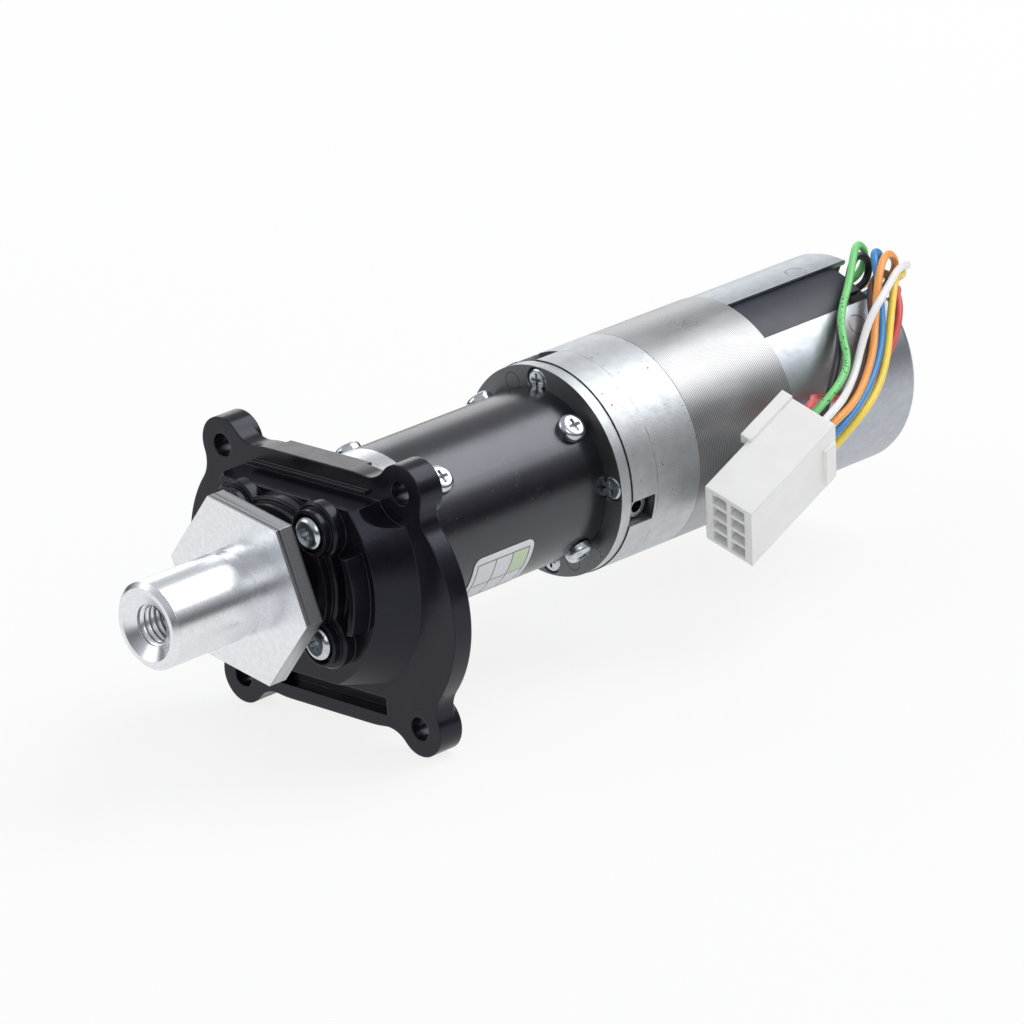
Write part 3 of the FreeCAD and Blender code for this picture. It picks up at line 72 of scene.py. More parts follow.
def linear(hex_colour: str) -> Colour:
    """Turns an sRGB hex colour into linear light.

    Args:
        hex_colour: Colour such as "#c0c4c8".

    Returns:
        Red, green, blue and an alpha of one.
    """
    channels = [int(hex_colour[start:start + 2], 16) / 255 for start in (1, 3, 5)]
    light = [c / 12.92 if c <= 0.04045 else ((c + 0.055) / 1.055) ** 2.4 for c in channels]
    return (light[0], light[1], light[2], 1.0)


def per_metre(size_mm: float) -> float:
    """Texture scale at which one grain of a noise is about a real size.

    Args:
        size_mm: Size of the grain in millimetres.

    Returns:
        Grains per metre.
    """
    return 1.0 / (size_mm * MM)


def line_scale(pitch_mm: float) -> float:
    """Scale of a wave texture whose lines stand a real distance apart.

    Args:
        pitch_mm: Distance from line to line in millimetres.

    Returns:
        Value for the scale socket.
    """
    return 2 * math.pi / (WAVE_RADIANS * pitch_mm * MM)


def add_node(
    tree: bpy.types.NodeTree, kind: str, links: dict[str | int, object] | None = None, **settings: object
) -> bpy.types.Node:
    """Adds a shader node.

    Args:
        tree: Tree that gets the node.
        kind: Type of the node, without the word ShaderNode.
        links: Socket names or numbers, each with its value or with the output that feeds it.
        settings: Properties of the node.

    Returns:
        The new node.
    """
    node = tree.nodes.new("ShaderNode" + kind)
    for name, value in settings.items():
        setattr(node, name, value)
    for socket, value in (links or {}).items():
        if isinstance(value, Socket):
            tree.links.new(value, node.inputs[socket])
        else:
            node.inputs[socket].default_value = value
    return node


@dataclass(frozen=True)
class Grain:
    """Cloudy pattern: the size of its grain, and the noise levels that give nought and one.

    Detail is the number of finer octaves. A stretch below one draws the grain out along that axis, and one
    above it squeezes the grain.
    """

    size_mm: float
    low: float = 0.3
    high: float = 0.7
    detail: float = 3.0
    stretch: Point = (1.0, 1.0, 1.0)


class Surface:
    """Node tree of one material, with the patterns that several finishes share."""

    # A face counts as lying across the axis where its normal has at least this share along it.
    face_limit: float = 0.7
    edge_samples: int = 6
    wear_samples: int = 4
    # Likeness of the eased normal to the true one at which wear starts and at which it is full.
    wear_levels: tuple[float, float] = (0.985, 0.8)

    def __init__(self, name: str, roughness: float, metallic: float = 0.0, **constants: object) -> None:
        """Starts a material.

        Args:
            name: Name of the material.
            roughness: Roughness where no pattern feeds it.
            metallic: One for bare metal.
            constants: Other sockets of the shader, with spaces written as underscores.
        """
        self.material = bpy.data.materials.new(name)
        self.material.use_nodes = True
        self.tree = self.material.node_tree
        self.shader = self.tree.nodes["Principled BSDF"]
        self.shader.inputs["Roughness"].default_value = roughness
        self.shader.inputs["Metallic"].default_value = metallic
        for socket, value in constants.items():
            self.shader.inputs[socket.replace("_", " ")].default_value = value
        place = add_node(self.tree, "TexCoord")
        self.place = place.outputs["Object"]
        self.normal = place.outputs["Normal"]

    def cloud(self, grain: Grain) -> Socket:
        """Cloudy pattern from nought to one.

        Args:
            grain: Its size, levels, detail and stretch.

        Returns:
            The pattern.
        """
        mapping = add_node(self.tree, "Mapping", {"Vector": self.place, "Scale": grain.stretch})
        noise = add_node(
            self.tree, "TexNoise",
            {"Vector": mapping.outputs[0], "Scale": per_metre(grain.size_mm), "Detail": grain.detail},
        )
        spread = add_node(
            self.tree, "MapRange",
            {"Value": noise.outputs[0], "From Min": grain.low, "From Max": grain.high},
        )
        return spread.outputs[0]

    def scattered(self, grain: Grain, places: Grain) -> Socket:
        """Fine marks that show only in some places.

        Args:
            grain: The marks.
            places: The larger pattern that lets them show.

        Returns:
            The pattern.
        """
        return self.within(self.cloud(grain), self.cloud(places))

    def lines(
        self, pitch_mm: float, marks: Marks = Marks.ROUND_THE_AXIS, waver: float = 0.0
    ) -> Socket:
        """Turning marks at an even distance.

        Args:
            pitch_mm: Distance from line to line.
            marks: Whether they run round the axis or as rings on a face across it.
            waver: Distortion of the lines.

        Returns:
            The pattern, from nought to one.
        """
        wave = add_node(
            self.tree, "TexWave",
            {"Vector": self.place, "Scale": line_scale(pitch_mm), "Distortion": waver},
            wave_type=marks.value, bands_direction="Y", rings_direction="Y",
        )
        return wave.outputs["Fac"]

    def turned(self, side_pitch_mm: float, face_pitch_mm: float) -> Socket:
        """Turning marks on a whole turned piece.

        Args:
            side_pitch_mm: Distance from line to line on the round sides.
            face_pitch_mm: Distance from ring to ring on the faces across the axis.

        Returns:
            The pattern, from nought to one.
        """
        return self.blend(
            self.faces_axis(), self.lines(side_pitch_mm), self.lines(face_pitch_mm, Marks.RINGS_ON_A_FACE)
        )

    def along(self) -> Socket:
        """Place along the motor axis, in metres."""
        return add_node(self.tree, "SeparateXYZ", {0: self.place}).outputs["Y"]

    def radius(self) -> Socket:
        """Distance from the motor axis.

        Returns:
            The distance in metres.
        """
        parts = add_node(self.tree, "SeparateXYZ", {0: self.place}).outputs
        flat = add_node(self.tree, "CombineXYZ", {0: parts["X"], 1: parts["Z"]})
        return add_node(
            self.tree, "VectorMath", {0: flat.outputs[0]}, operation="LENGTH"
        ).outputs["Value"]

    def faces_axis(self) -> Socket:
        """One on faces across the axis, nought on the round sides.

        Returns:
            The mask.
        """
        across = add_node(self.tree, "SeparateXYZ", {0: self.normal}).outputs["Y"]
        size = add_node(self.tree, "Math", {0: across}, operation="ABSOLUTE")
        return add_node(
            self.tree, "Math", {0: size.outputs[0], 1: self.face_limit}, operation="GREATER_THAN"
        ).outputs[0]

    def band(self, value: Socket, middle_mm: float, half_width_mm: float) -> Socket:
        """One where a length is near a value, nought elsewhere.

        Args:
            value: Length in metres.
            middle_mm: Middle of the band.
            half_width_mm: Half its width.

        Returns:
            The mask.
        """
        return add_node(
            self.tree, "Math", {0: value, 1: middle_mm * MM, 2: half_width_mm * MM}, operation="COMPARE"
        ).outputs[0]

    def distance(self, point_mm: Point) -> Socket:
        """Distance from a point of the part, in metres.

        Args:
            point_mm: The point.

        Returns:
            The distance.
        """
        centre = tuple(coordinate * MM for coordinate in point_mm)
        return add_node(
            self.tree, "VectorMath", {0: self.place, 1: centre}, operation="DISTANCE"
        ).outputs["Value"]

    def circles(self, middles_mm: tuple[Point, ...], radius_mm: float, half_width_mm: float) -> Socket:
        """Thin circles round several points.

        Args:
            middles_mm: Their middles.
            radius_mm: Their radius.
            half_width_mm: Half the width of the line.

        Returns:
            The mask.
        """
        return self.any_of(*[
            self.band(self.distance(middle), radius_mm, half_width_mm) for middle in middles_mm
        ])

    def within(self, pattern: Socket, limit: Socket | float) -> Socket:
        """Pattern that shows only as far as a mask or a share lets it."""
        return add_node(self.tree, "Math", {0: pattern, 1: limit}, operation="MULTIPLY").outputs[0]

    def any_of(self, *masks: Socket) -> Socket:
        """One where any of several masks is.

        Args:
            masks: The masks.

        Returns:
            The mask of them all.
        """
        result = masks[0]
        for mask in masks[1:]:
            result = add_node(self.tree, "Math", {0: result, 1: mask}, operation="MAXIMUM").outputs[0]
        return result

    def blend(self, amount: Socket, first: Socket | str, second: Socket | str) -> Socket:
        """Colour between two others.

        Args:
            amount: Nought for the first, one for the second.
            first: Hex colour or an output.
            second: Hex colour or an output.

        Returns:
            The colour.
        """
        colours = [linear(colour) if isinstance(colour, str) else colour for colour in (first, second)]
        # Sockets 6 and 7 of the node take its colours, and output 2 gives the one between them.
        mix = add_node(self.tree, "Mix", {0: amount, 6: colours[0], 7: colours[1]}, data_type="RGBA")
        return mix.outputs[2]

    def tint(self, colour: Socket | str, over: str, mask: Socket, share: float) -> Socket:
        """Lays a colour over another.

        Args:
            colour: Hex colour or an output.
            over: Hex colour that is laid over it.
            mask: Where it lies.
            share: How much of it shows there.

        Returns:
            The colour.
        """
        return self.blend(self.within(mask, share), colour, over)

    def between(self, amount: Socket, low: float, high: float) -> Socket:
        """Number between two others, led by a pattern."""
        return add_node(
            self.tree, "MapRange", {"Value": amount, "To Min": low, "To Max": high}
        ).outputs[0]

    def relief(self, height: Socket, depth_mm: float, edge_mm: float = 0.0) -> None:
        """Raises the surface by a pattern and eases its edges.

        Args:
            height: Pattern from nought to one.
            depth_mm: Depth of the relief.
            edge_mm: Radius to which sharp edges are eased.
        """
        links = {"Height": height, "Distance": depth_mm * MM, "Strength": 1.0}
        if edge_mm > 0:
            eased = add_node(
                self.tree, "Bevel", {"Radius": edge_mm * MM}, samples=self.edge_samples
            )
            links["Normal"] = eased.outputs[0]
        bump = add_node(self.tree, "Bump", links)
        self.tree.links.new(bump.outputs[0], self.shader.inputs["Normal"])

    def worn_edges(self, reach_mm: float) -> Socket:
        """Pattern that is one along sharp edges, where handling wears a finish.

        Args:
            reach_mm: Width of the worn strip.

        Returns:
            The pattern.
        """
        eased = add_node(
            self.tree, "Bevel", {"Radius": reach_mm * MM}, samples=self.wear_samples
        ).outputs[0]
        true = add_node(self.tree, "NewGeometry").outputs["Normal"]
        likeness = add_node(self.tree, "VectorMath", {0: eased, 1: true}, operation="DOT_PRODUCT")
        start, full = self.wear_levels
        return add_node(
            self.tree, "MapRange",
            {"Value": likeness.outputs["Value"], "From Min": start, "From Max": full},
        ).outputs[0]

    def feed(self, **sockets: Socket) -> None:
        """Links patterns to the shader, with spaces in the socket names written as underscores."""
        for socket, source in sockets.items():
            self.tree.links.new(source, self.shader.inputs[socket.replace("_", " ")])


# Finishes
# A share is how much of a colour shows. Glossier and duller are how far a roughness wanders down and up.
# Lathe lines finer than the picture can show are drawn as coarse as they need to be.


class Finish(Protocol):
    """What each finish can do."""

    def material(self) -> bpy.types.Material:
        """Builds the material.

        Returns:
            The material.
        """


@dataclass(frozen=True)
class MouldedPlastic:
    """Moulded plastic or rubber: even colour, faint orange peel, soft gloss and eased edges."""

    name: str
    base: str
    shade: str
    roughness: float
    grain_mm: float = 0.5
    edge_mm: float = 0.25
    ior: float = 1.5
    sheen: str = "#ffffff"
    scuff: str | None = None
    flow: Grain = Grain(6.0, 0.35)
    dust: Grain = Grain(0.6, 0.68, 0.78, detail=6.0)
    dusty_places: Grain = Grain(9.0, 0.5, 0.65)
    dust_share: float = 0.5
    wear_mm: float = 0.2
    wear_share: float = 0.35
    gloss: Grain = Grain(4.0)
    glossier: float = 0.03
    duller: float = 0.05
    peel_depth_mm: float = 0.006

    def material(self) -> bpy.types.Material:
        """Builds the material.

        Returns:
            The material.
        """
        surface = Surface(self.name, self.roughness, IOR=self.ior, Specular_Tint=linear(self.sheen))
        colour = surface.blend(surface.cloud(self.flow), self.base, self.shade)
        if self.scuff:
            dust = surface.scattered(self.dust, self.dusty_places)
            colour = surface.tint(colour, self.scuff, dust, self.dust_share)
            colour = surface.tint(colour, self.scuff, surface.worn_edges(self.wear_mm), self.wear_share)
        gloss = surface.between(
            surface.cloud(self.gloss), self.roughness - self.glossier, self.roughness + self.duller
        )
        surface.feed(Base_Color=colour, Roughness=gloss)
        surface.relief(surface.cloud(Grain(self.grain_mm)), self.peel_depth_mm, self.edge_mm)
        return surface.material


@dataclass(frozen=True)
class TurnedMetal:
    """Metal cut on a lathe: bright, with fine lines round the axis and rings on its faces."""

    name: str
    base: str
    shade: str
    roughness: float
    pitch_mm: float = 0.4
    line_depth_mm: float = 0.004
    edge_mm: float = 0.15
    streaks: Grain = Grain(1.2, 0.4, 0.75, detail=5.0, stretch=(1.0, 4.0, 1.0))
    glossier: float = 0.04
    duller: float = 0.08

    def material(self) -> bpy.types.Material:
        """Builds the material.

        Returns:
            The material.
        """
        surface = Surface(self.name, self.roughness, metallic=1.0)
        streaks = surface.cloud(self.streaks)
        gloss = surface.between(streaks, self.roughness - self.glossier, self.roughness + self.duller)
        surface.feed(Base_Color=surface.blend(streaks, self.base, self.shade), Roughness=gloss)
        surface.relief(surface.turned(self.pitch_mm, self.pitch_mm), self.line_depth_mm, self.edge_mm)
        return surface.material


@dataclass(frozen=True)
class HubAluminium:
    """Machined aluminium: mirror-bright where it was turned, with saw lines and painted dark reflection on
    the sides of the hexagon.
    """

    name: str = "hub_aluminium"
    base: str = "#eceef1"
    shade: str = "#dfe2e6"
    # Colour of the saw lines, also laid over the whole sides of the hexagon as painted shade.
    saw_line_and_painted_shade: str = "#2c2d31"
    # Of the surfaces that run along the axis, only the hexagon's sides lie outside this radius.
    side_radius_mm: float = 14.6
    # How much painted shade darkens the hexagon's sides, standing in for the dark reflection they show.
    painted_side_shade_share: float = 0.43
    saw: Grain = Grain(0.7, 0.5, 0.68, detail=2.0, stretch=(0.01, 1.0, 0.01))
    saw_share: float = 0.8
    side_pitch_mm: float = 0.35
    face_pitch_mm: float = 0.45
    streaks: Grain = Grain(1.0, 0.35, 0.8, detail=5.0, stretch=(1.0, 3.0, 1.0))
    smoothest: float = 0.27
    roughest: float = 0.31
    line_depth_mm: float = 0.003
    edge_mm: float = 0.12

    def material(self) -> bpy.types.Material:
        """Builds the material.

        Returns:
            The material.
        """
        surface = Surface(self.name, self.smoothest, metallic=1.0)
        side = self.sides(surface)
        saw = surface.cloud(self.saw)
        streaks = surface.cloud(self.streaks)
        colour = surface.blend(streaks, self.base, self.shade)
        # Painted shade: the hexagon's sides are darkened all over, for their dark reflection.
        colour = surface.tint(colour, self.saw_line_and_painted_shade, side, self.painted_side_shade_share)
        colour = surface.tint(colour, self.saw_line_and_painted_shade, surface.within(saw, side), self.saw_share)
        surface.feed(
            Base_Color=colour, Roughness=surface.between(streaks, self.smoothest, self.roughest)
        )
        fine = surface.turned(self.side_pitch_mm, self.face_pitch_mm)
        surface.relief(surface.blend(side, fine, saw), self.line_depth_mm, self.edge_mm)
        return surface.material

    def sides(self, surface: Surface) -> Socket:
        """Mask of the hexagon's sides, which lie further out than any turned face.

        Args:
            surface: Surface that gets the nodes.

        Returns:
            The mask.
        """
        outside = add_node(
            surface.tree, "Math", {0: surface.radius(), 1: self.side_radius_mm * MM},
            operation="GREATER_THAN",
        ).outputs[0]
        off_faces = add_node(
            surface.tree, "Math", {0: 1.0, 1: surface.faces_axis()}, operation="SUBTRACT"
        ).outputs[0]
        return surface.within(outside, off_faces)


@dataclass(frozen=True)
class CastMetal:
    """Cast or sintered metal: matt and mottled, with pits.

    Die-cast zinc also has a parting line, a darker skin on its front face and the circles that ejector pins
    leave. Its seams are the thin dark joints to the neighbours.
    """

    name: str
    base: str
    shade: str
    pit: str
    front: str | None = None
    mottle: Grain = Grain(2.2, 0.3, 0.75, detail=6.0)
    pits: Grain = Grain(0.45, 0.69, 0.72, detail=1.0)
    pitted_places: Grain = Grain(5.0, 0.5, 0.62)
    parting_mm: float | None = None
    parting_half_width_mm: float = 0.07
    parting_places: Grain = Grain(6.0, 0.42, 0.52)
    parting_share: float = 0.6
    seams_mm: tuple[float, ...] = ()
    seam_half_width_mm: float = 0.15
    seam_share: float = 0.85
    marks_mm: tuple[Point, ...] = ()
    mark_radius_mm: float = 1.8
    mark_half_width_mm: float = 0.12
    mark_share: float = 0.6
    smoothest: float = 0.47
    roughest: float = 0.52
    skin: Grain = Grain(0.35, detail=4.0)
    skin_depth_mm: float = 0.014
    edge_mm: float = 0.2

    def material(self) -> bpy.types.Material:
        """Builds the material.

        Returns:
            The material.
        """
        surface = Surface(self.name, self.smoothest, metallic=1.0)
        along = surface.along()
        mottle = surface.cloud(self.mottle)
        colour = surface.blend(mottle, self.base, self.shade)
        if self.front:
            colour = surface.blend(surface.faces_axis(), colour, self.front)
        colour = surface.blend(surface.scattered(self.pits, self.pitted_places), colour, self.pit)
        if self.parting_mm is not None:
            line = surface.band(along, self.parting_mm, self.parting_half_width_mm)
            broken = surface.within(line, surface.cloud(self.parting_places))
            colour = surface.tint(colour, self.pit, broken, self.parting_share)
        if self.seams_mm:
            seams = surface.any_of(*[
                surface.band(along, seam, self.seam_half_width_mm) for seam in self.seams_mm
            ])
            colour = surface.tint(colour, self.pit, seams, self.seam_share)
        if self.marks_mm:
            rings = surface.circles(self.marks_mm, self.mark_radius_mm, self.mark_half_width_mm)
            colour = surface.tint(colour, self.pit, rings, self.mark_share)
        surface.feed(
            Base_Color=colour, Roughness=surface.between(mottle, self.smoothest, self.roughest)
        )
        surface.relief(surface.cloud(self.skin), self.skin_depth_mm, self.edge_mm)
        return surface.material


@dataclass(frozen=True)
class RidgedSteel:
    """Turned steel ring: its lathe lines are coarse enough to see, and it has a few rust pits."""

    name: str = "ridged_steel"
    ridge: str = "#bfc0c2"
    groove: str = "#7b7a7b"
    pit: str = "#3a3634"
    pitch_mm: float = 0.44
    waver: float = 0.1
    haze: Grain = Grain(5.0, 0.4, 0.7, detail=4.0, stretch=(1.0, 0.4, 1.0))
    haze_share: float = 0.55
    pits: Grain = Grain(0.5, 0.6, 0.64, detail=2.0)
    pit_patch_mm: Point = (4.0, 92.0, 20.5)
    pit_reach_mm: float = 5.0
    smoothest: float = 0.36
    roughest: float = 0.44
    ridge_depth_mm: float = 0.018
    edge_mm: float = 0.12

    def material(self) -> bpy.types.Material:
        """Builds the material.

        Returns:
            The material.
        """
        surface = Surface(self.name, self.smoothest, metallic=1.0)
        lines = surface.lines(self.pitch_mm, waver=self.waver)
        haze = surface.cloud(self.haze)
        colour = surface.blend(lines, self.groove, self.ridge)
        colour = surface.tint(colour, self.ridge, haze, self.haze_share)
        reach = surface.distance(self.pit_patch_mm)
        near = add_node(
            surface.tree, "MapRange",
            {"Value": reach, "From Min": self.pit_reach_mm * MM, "From Max": 0.0},
        ).outputs[0]
        colour = surface.blend(surface.within(surface.cloud(self.pits), near), colour, self.pit)
        surface.feed(Base_Color=colour, Roughness=surface.between(haze, self.smoothest, self.roughest))
        surface.relief(lines, self.ridge_depth_mm, self.edge_mm)
        return surface.material


@dataclass(frozen=True)
class PlatedSteel:
    """Zinc plated steel: cool grey and cloudy, with faint scratches along the axis and painted shade in
    open rings round its dents.
    """

    name: str
    base: str
    shade: str
    roughness: float
    spangle: Grain = Grain(1.4, 0.3, 0.75, detail=6.0, stretch=(1.0, 0.7, 1.0))
    scratch: str = "#6f7378"
    scratches: Grain = Grain(0.3, 0.63, 0.68, detail=2.0, stretch=(1.0, 0.08, 1.0))
    scratched_places: Grain = Grain(8.0, 0.5, 0.65)
    scratch_share: float = 0.35
    # Painted shade: dark open rings where the sleeve has crimp dents that the mesh doesn't have.
    dent_shade_colour: str = "#3e4146"
    dents_mm: tuple[Point, ...] = ()
    dent_radius_mm: float = 2.0
    dent_half_width_mm: float = 0.14
    dent_shade_arcs: Grain = Grain(3.0, 0.42, 0.5)
    dent_shade_share: float = 0.7
    glossier: float = 0.02
    duller: float = 0.04
    skin: Grain = Grain(0.6, detail=4.0)
    skin_depth_mm: float = 0.006
    edge_mm: float = 0.15

    def material(self) -> bpy.types.Material:
        """Builds the material.

        Returns:
            The material.
        """
        surface = Surface(self.name, self.roughness, metallic=1.0)
        spangle = surface.cloud(self.spangle)
        scratches = surface.scattered(self.scratches, self.scratched_places)
        colour = surface.blend(spangle, self.base, self.shade)
        colour = surface.tint(colour, self.scratch, scratches, self.scratch_share)
        # Painted shade of the dents, drawn as dark open rings.
        if self.dents_mm:
            rings = surface.circles(self.dents_mm, self.dent_radius_mm, self.dent_half_width_mm)
            arcs = surface.within(rings, surface.cloud(self.dent_shade_arcs))
            colour = surface.tint(colour, self.dent_shade_colour, arcs, self.dent_shade_share)
        gloss = surface.between(spangle, self.roughness - self.glossier, self.roughness + self.duller)
        surface.feed(Base_Color=colour, Roughness=gloss)
        surface.relief(surface.cloud(self.skin), self.skin_depth_mm, self.edge_mm)
        return surface.material


@dataclass(frozen=True)
class CoatedTube:
    """Steel tube with a satin black coat: a broad soft highlight and specks of dust."""

    name: str = "coated_tube"
    base: str = "#0e0d14"
    shade: str = "#13121a"
    dust: str = "#8a8990"
    sheen: str = "#e8ebf6"
    ior: float = 1.8
    coat: Grain = Grain(7.0, 0.35)
    specks: Grain = Grain(0.35, 0.72, 0.75, detail=1.0)
    dusty_places: Grain = Grain(6.0, 0.5, 0.6)
    dust_share: float = 0.5
    gloss: Grain = Grain(5.0)
    smoothest: float = 0.22
    roughest: float = 0.27
    skin: Grain = Grain(0.25, detail=4.0)
    skin_depth_mm: float = 0.006
    edge_mm: float = 0.15

    def material(self) -> bpy.types.Material:
        """Builds the material.

        Returns:
            The material.
        """
        surface = Surface(self.name, self.smoothest, IOR=self.ior, Specular_Tint=linear(self.sheen))
        colour = surface.blend(surface.cloud(self.coat), self.base, self.shade)
        specks = surface.scattered(self.specks, self.dusty_places)
        colour = surface.tint(colour, self.dust, specks, self.dust_share)
        gloss = surface.between(surface.cloud(self.gloss), self.smoothest, self.roughest)
        surface.feed(Base_Color=colour, Roughness=gloss)
        surface.relief(surface.cloud(self.skin), self.skin_depth_mm, self.edge_mm)
        return surface.material


@dataclass(frozen=True)
class LabelCut:
    """Size of the rating label, and the length that its map calls one."""

    length: float = 15.4
    width: float = 13.0
    corner: float = 1.7
    map_unit: float = 20.0


@dataclass(frozen=True)
class PaperLabel:
    """Printed paper label: matt white, with a thin frame, dividing lines and one pale green cell.

    The places of the lines and of the cell are measured along the axis and round it, from the label's
    first corner.
    """

    name: str = "paper_label"
    paper: str = "#eff0f2"
    fibre: str = "#cfd1d3"
    ink: str = "#33353a"
    tint: str = "#cfe3b4"
    roughness: float = 0.5
    ior: float = 1.45
    cut: LabelCut = LabelCut()
    fibres: Grain = Grain(0.5, detail=4.0)
    fibre_share: float = 0.25
    fibre_depth_mm: float = 0.006
    margin_along: float = 1.1
    margin_around: float = 1.5
    dividers_along: tuple[float, ...] = (5.8, 10.1)
    dividers_around: tuple[float, ...] = (7.0,)
    line_half_width: float = 0.14
    line_overrun: float = 0.1
    cell_middle: tuple[float, float] = (12.2, 4.2)
    cell_half: tuple[float, float] = (2.0, 2.5)
    print_share: float = 0.8

    def material(self) -> bpy.types.Material:
        """Builds the material.

        Returns:
            The material.
        """
        surface = Surface(self.name, self.roughness, IOR=self.ior)
        fibres = surface.cloud(self.fibres)
        along, around = self.places(surface)
        cell = surface.within(
            surface.band(along, self.cell_middle[0], self.cell_half[0]),
            surface.band(around, self.cell_middle[1], self.cell_half[1]),
        )
        lines = surface.any_of(
            *self.ruling(
                surface, (along, around), (self.cut.length, self.cut.width),
                (self.margin_along, self.margin_around), self.dividers_along,
            ),
            *self.ruling(
                surface, (around, along), (self.cut.width, self.cut.length),
                (self.margin_around, self.margin_along), self.dividers_around,
            ),
        )
        colour = surface.blend(surface.within(fibres, self.fibre_share), self.paper, self.fibre)
        colour = surface.tint(colour, self.tint, cell, self.print_share)
        colour = surface.tint(colour, self.ink, lines, self.print_share)
        surface.feed(Base_Color=colour)
        surface.relief(fibres, self.fibre_depth_mm)
        return surface.material

    def places(self, surface: Surface) -> list[Socket]:
        """Place on the label, read from its own map.

        Args:
            surface: Surface that gets the nodes.

        Returns:
            The place along the axis and the place round it, in metres.
        """
        label_map = add_node(surface.tree, "UVMap").outputs[0]
        parts = add_node(surface.tree, "SeparateXYZ", {0: label_map}).outputs
        return [surface.within(parts[axis], self.cut.map_unit * MM) for axis in ("X", "Y")]

    def ruling(
        self, surface: Surface, places: tuple[Socket, Socket], size: tuple[float, float],
        margins: tuple[float, float], dividers: tuple[float, ...],
    ) -> list[Socket]:
        """Lines of the frame that cross one direction, with the dividing lines beside them.

        Args:
            surface: Surface that gets the nodes.
            places: Place in that direction, then the place in the other.
            size: Size of the label in that direction, then in the other.
            margins: Margin in that direction, then in the other.
            dividers: Places of the dividing lines.

        Returns:
            One mask for each line.
        """
        half_run = size[1] / 2 - margins[1] + self.line_overrun
        run = surface.band(places[1], size[1] / 2, half_run)
        stops = (margins[0], *dividers, size[0] - margins[0])
        return [surface.within(surface.band(places[0], stop, self.line_half_width), run) for stop in stops]


@dataclass(frozen=True)
class WireInsulation:
    """Extruded PVC insulation: clear colour, waxy gloss, faint waves, and print marks on one wire."""

    name: str
    base: str
    print_ink: str | None = None
    ior: float = 1.53
    print_marks: Grain = Grain(0.55, 0.6, 0.63, detail=2.0)
    print_middle_mm: float = 114.5
    print_reach_mm: float = 11.0
    print_share: float = 0.85
    gloss: Grain = Grain(2.0)
    smoothest: float = 0.3
    roughest: float = 0.42
    waves: Grain = Grain(0.8)
    wave_depth_mm: float = 0.006

    def material(self) -> bpy.types.Material:
        """Builds the material.

        Returns:
            The material.
        """
        surface = Surface(self.name, self.smoothest, IOR=self.ior, Base_Color=linear(self.base))
        if self.print_ink:
            stretch = surface.band(surface.along(), self.print_middle_mm, self.print_reach_mm)
            marks = surface.within(surface.cloud(self.print_marks), stretch)
            surface.feed(Base_Color=surface.tint(self.base, self.print_ink, marks, self.print_share))
        gloss = surface.between(surface.cloud(self.gloss), self.smoothest, self.roughest)
        surface.feed(Roughness=gloss)
        surface.relief(surface.cloud(self.waves), self.wave_depth_mm)
        return surface.material


@dataclass(frozen=True)
class WoundCopper:
    """Enamelled copper wire, wound in close turns that show as fine ribs."""

    name: str = "wound_copper"
    base: str = "#b5652f"
    shade: str = "#7c3f1c"
    roughness: float = 0.3
    enamel: float = 0.5
    enamel_roughness: float = 0.2
    wire_mm: float = 0.6
    rib_depth_mm: float = 0.15

    def material(self) -> bpy.types.Material:
        """Builds the material.

        Returns:
            The material.
        """
        surface = Surface(
            self.name, self.roughness, metallic=1.0,
            Coat_Weight=self.enamel, Coat_Roughness=self.enamel_roughness,
        )
        turns = surface.lines(self.wire_mm, Marks.RINGS_ON_A_FACE)
        surface.feed(Base_Color=surface.blend(turns, self.shade, self.base))
        surface.relief(turns, self.rib_depth_mm)
        return surface.material


@dataclass(frozen=True)
class LaminatedSteel:
    """Stack of electrical sheets: thin dark joints between the sheets on every side along the axis."""

    name: str = "laminated_steel"
    base: str = "#8d9094"
    joint: str = "#3b3c3f"
    roughness: float = 0.45
    sheet_mm: float = 0.5
    joint_depth_mm: float = 0.05

    def material(self) -> bpy.types.Material:
        """Builds the material.

        Returns:
            The material.
        """
        surface = Surface(self.name, self.roughness, metallic=1.0)
        sheets = surface.lines(self.sheet_mm)
        surface.feed(Base_Color=surface.blend(sheets, self.joint, self.base))
        surface.relief(sheets, self.joint_depth_mm)
        return surface.material


@dataclass(frozen=True)
class GlassFibreBoard:
    """Circuit board: green solder mask over a woven glass base, with slightly raised tracks."""

    name: str = "glass_fibre_board"
    mask: str = "#1d5a35"
    track: str = "#2f7a4b"
    roughness: float = 0.3
    ior: float = 1.5
    varnish: float = 0.3
    cell_mm: float = 2.0
    track_levels: tuple[float, float] = (0.08, 0.12)
    track_depth_mm: float = 0.02

    def material(self) -> bpy.types.Material:
        """Builds the material.

        Returns:
            The material.
        """
        surface = Surface(self.name, self.roughness, IOR=self.ior, Coat_Weight=self.varnish)
        tracks = add_node(
            surface.tree, "TexVoronoi", {"Vector": surface.place, "Scale": per_metre(self.cell_mm)},
            feature="DISTANCE_TO_EDGE",
        ).outputs[0]
        start, end = self.track_levels
        edges = add_node(
            surface.tree, "MapRange", {"Value": tracks, "From Min": start, "From Max": end}
        ).outputs[0]
        surface.feed(Base_Color=surface.blend(edges, self.track, self.mask))
        surface.relief(edges, self.track_depth_mm)
        return surface.material


WIRE_COLOURS = {
    "green": "#80de86",
    "black": "#2b2c31",
    "blue": "#4091d8",
    "brown": "#74503f",
    "orange": "#ffac58",
    "red": "#da5756",
    "yellow": "#ffdf56",
    "white": "#f6f6f7",
}
PRINTED_WIRE = "green"
PRINT_INK = "#173a1c"


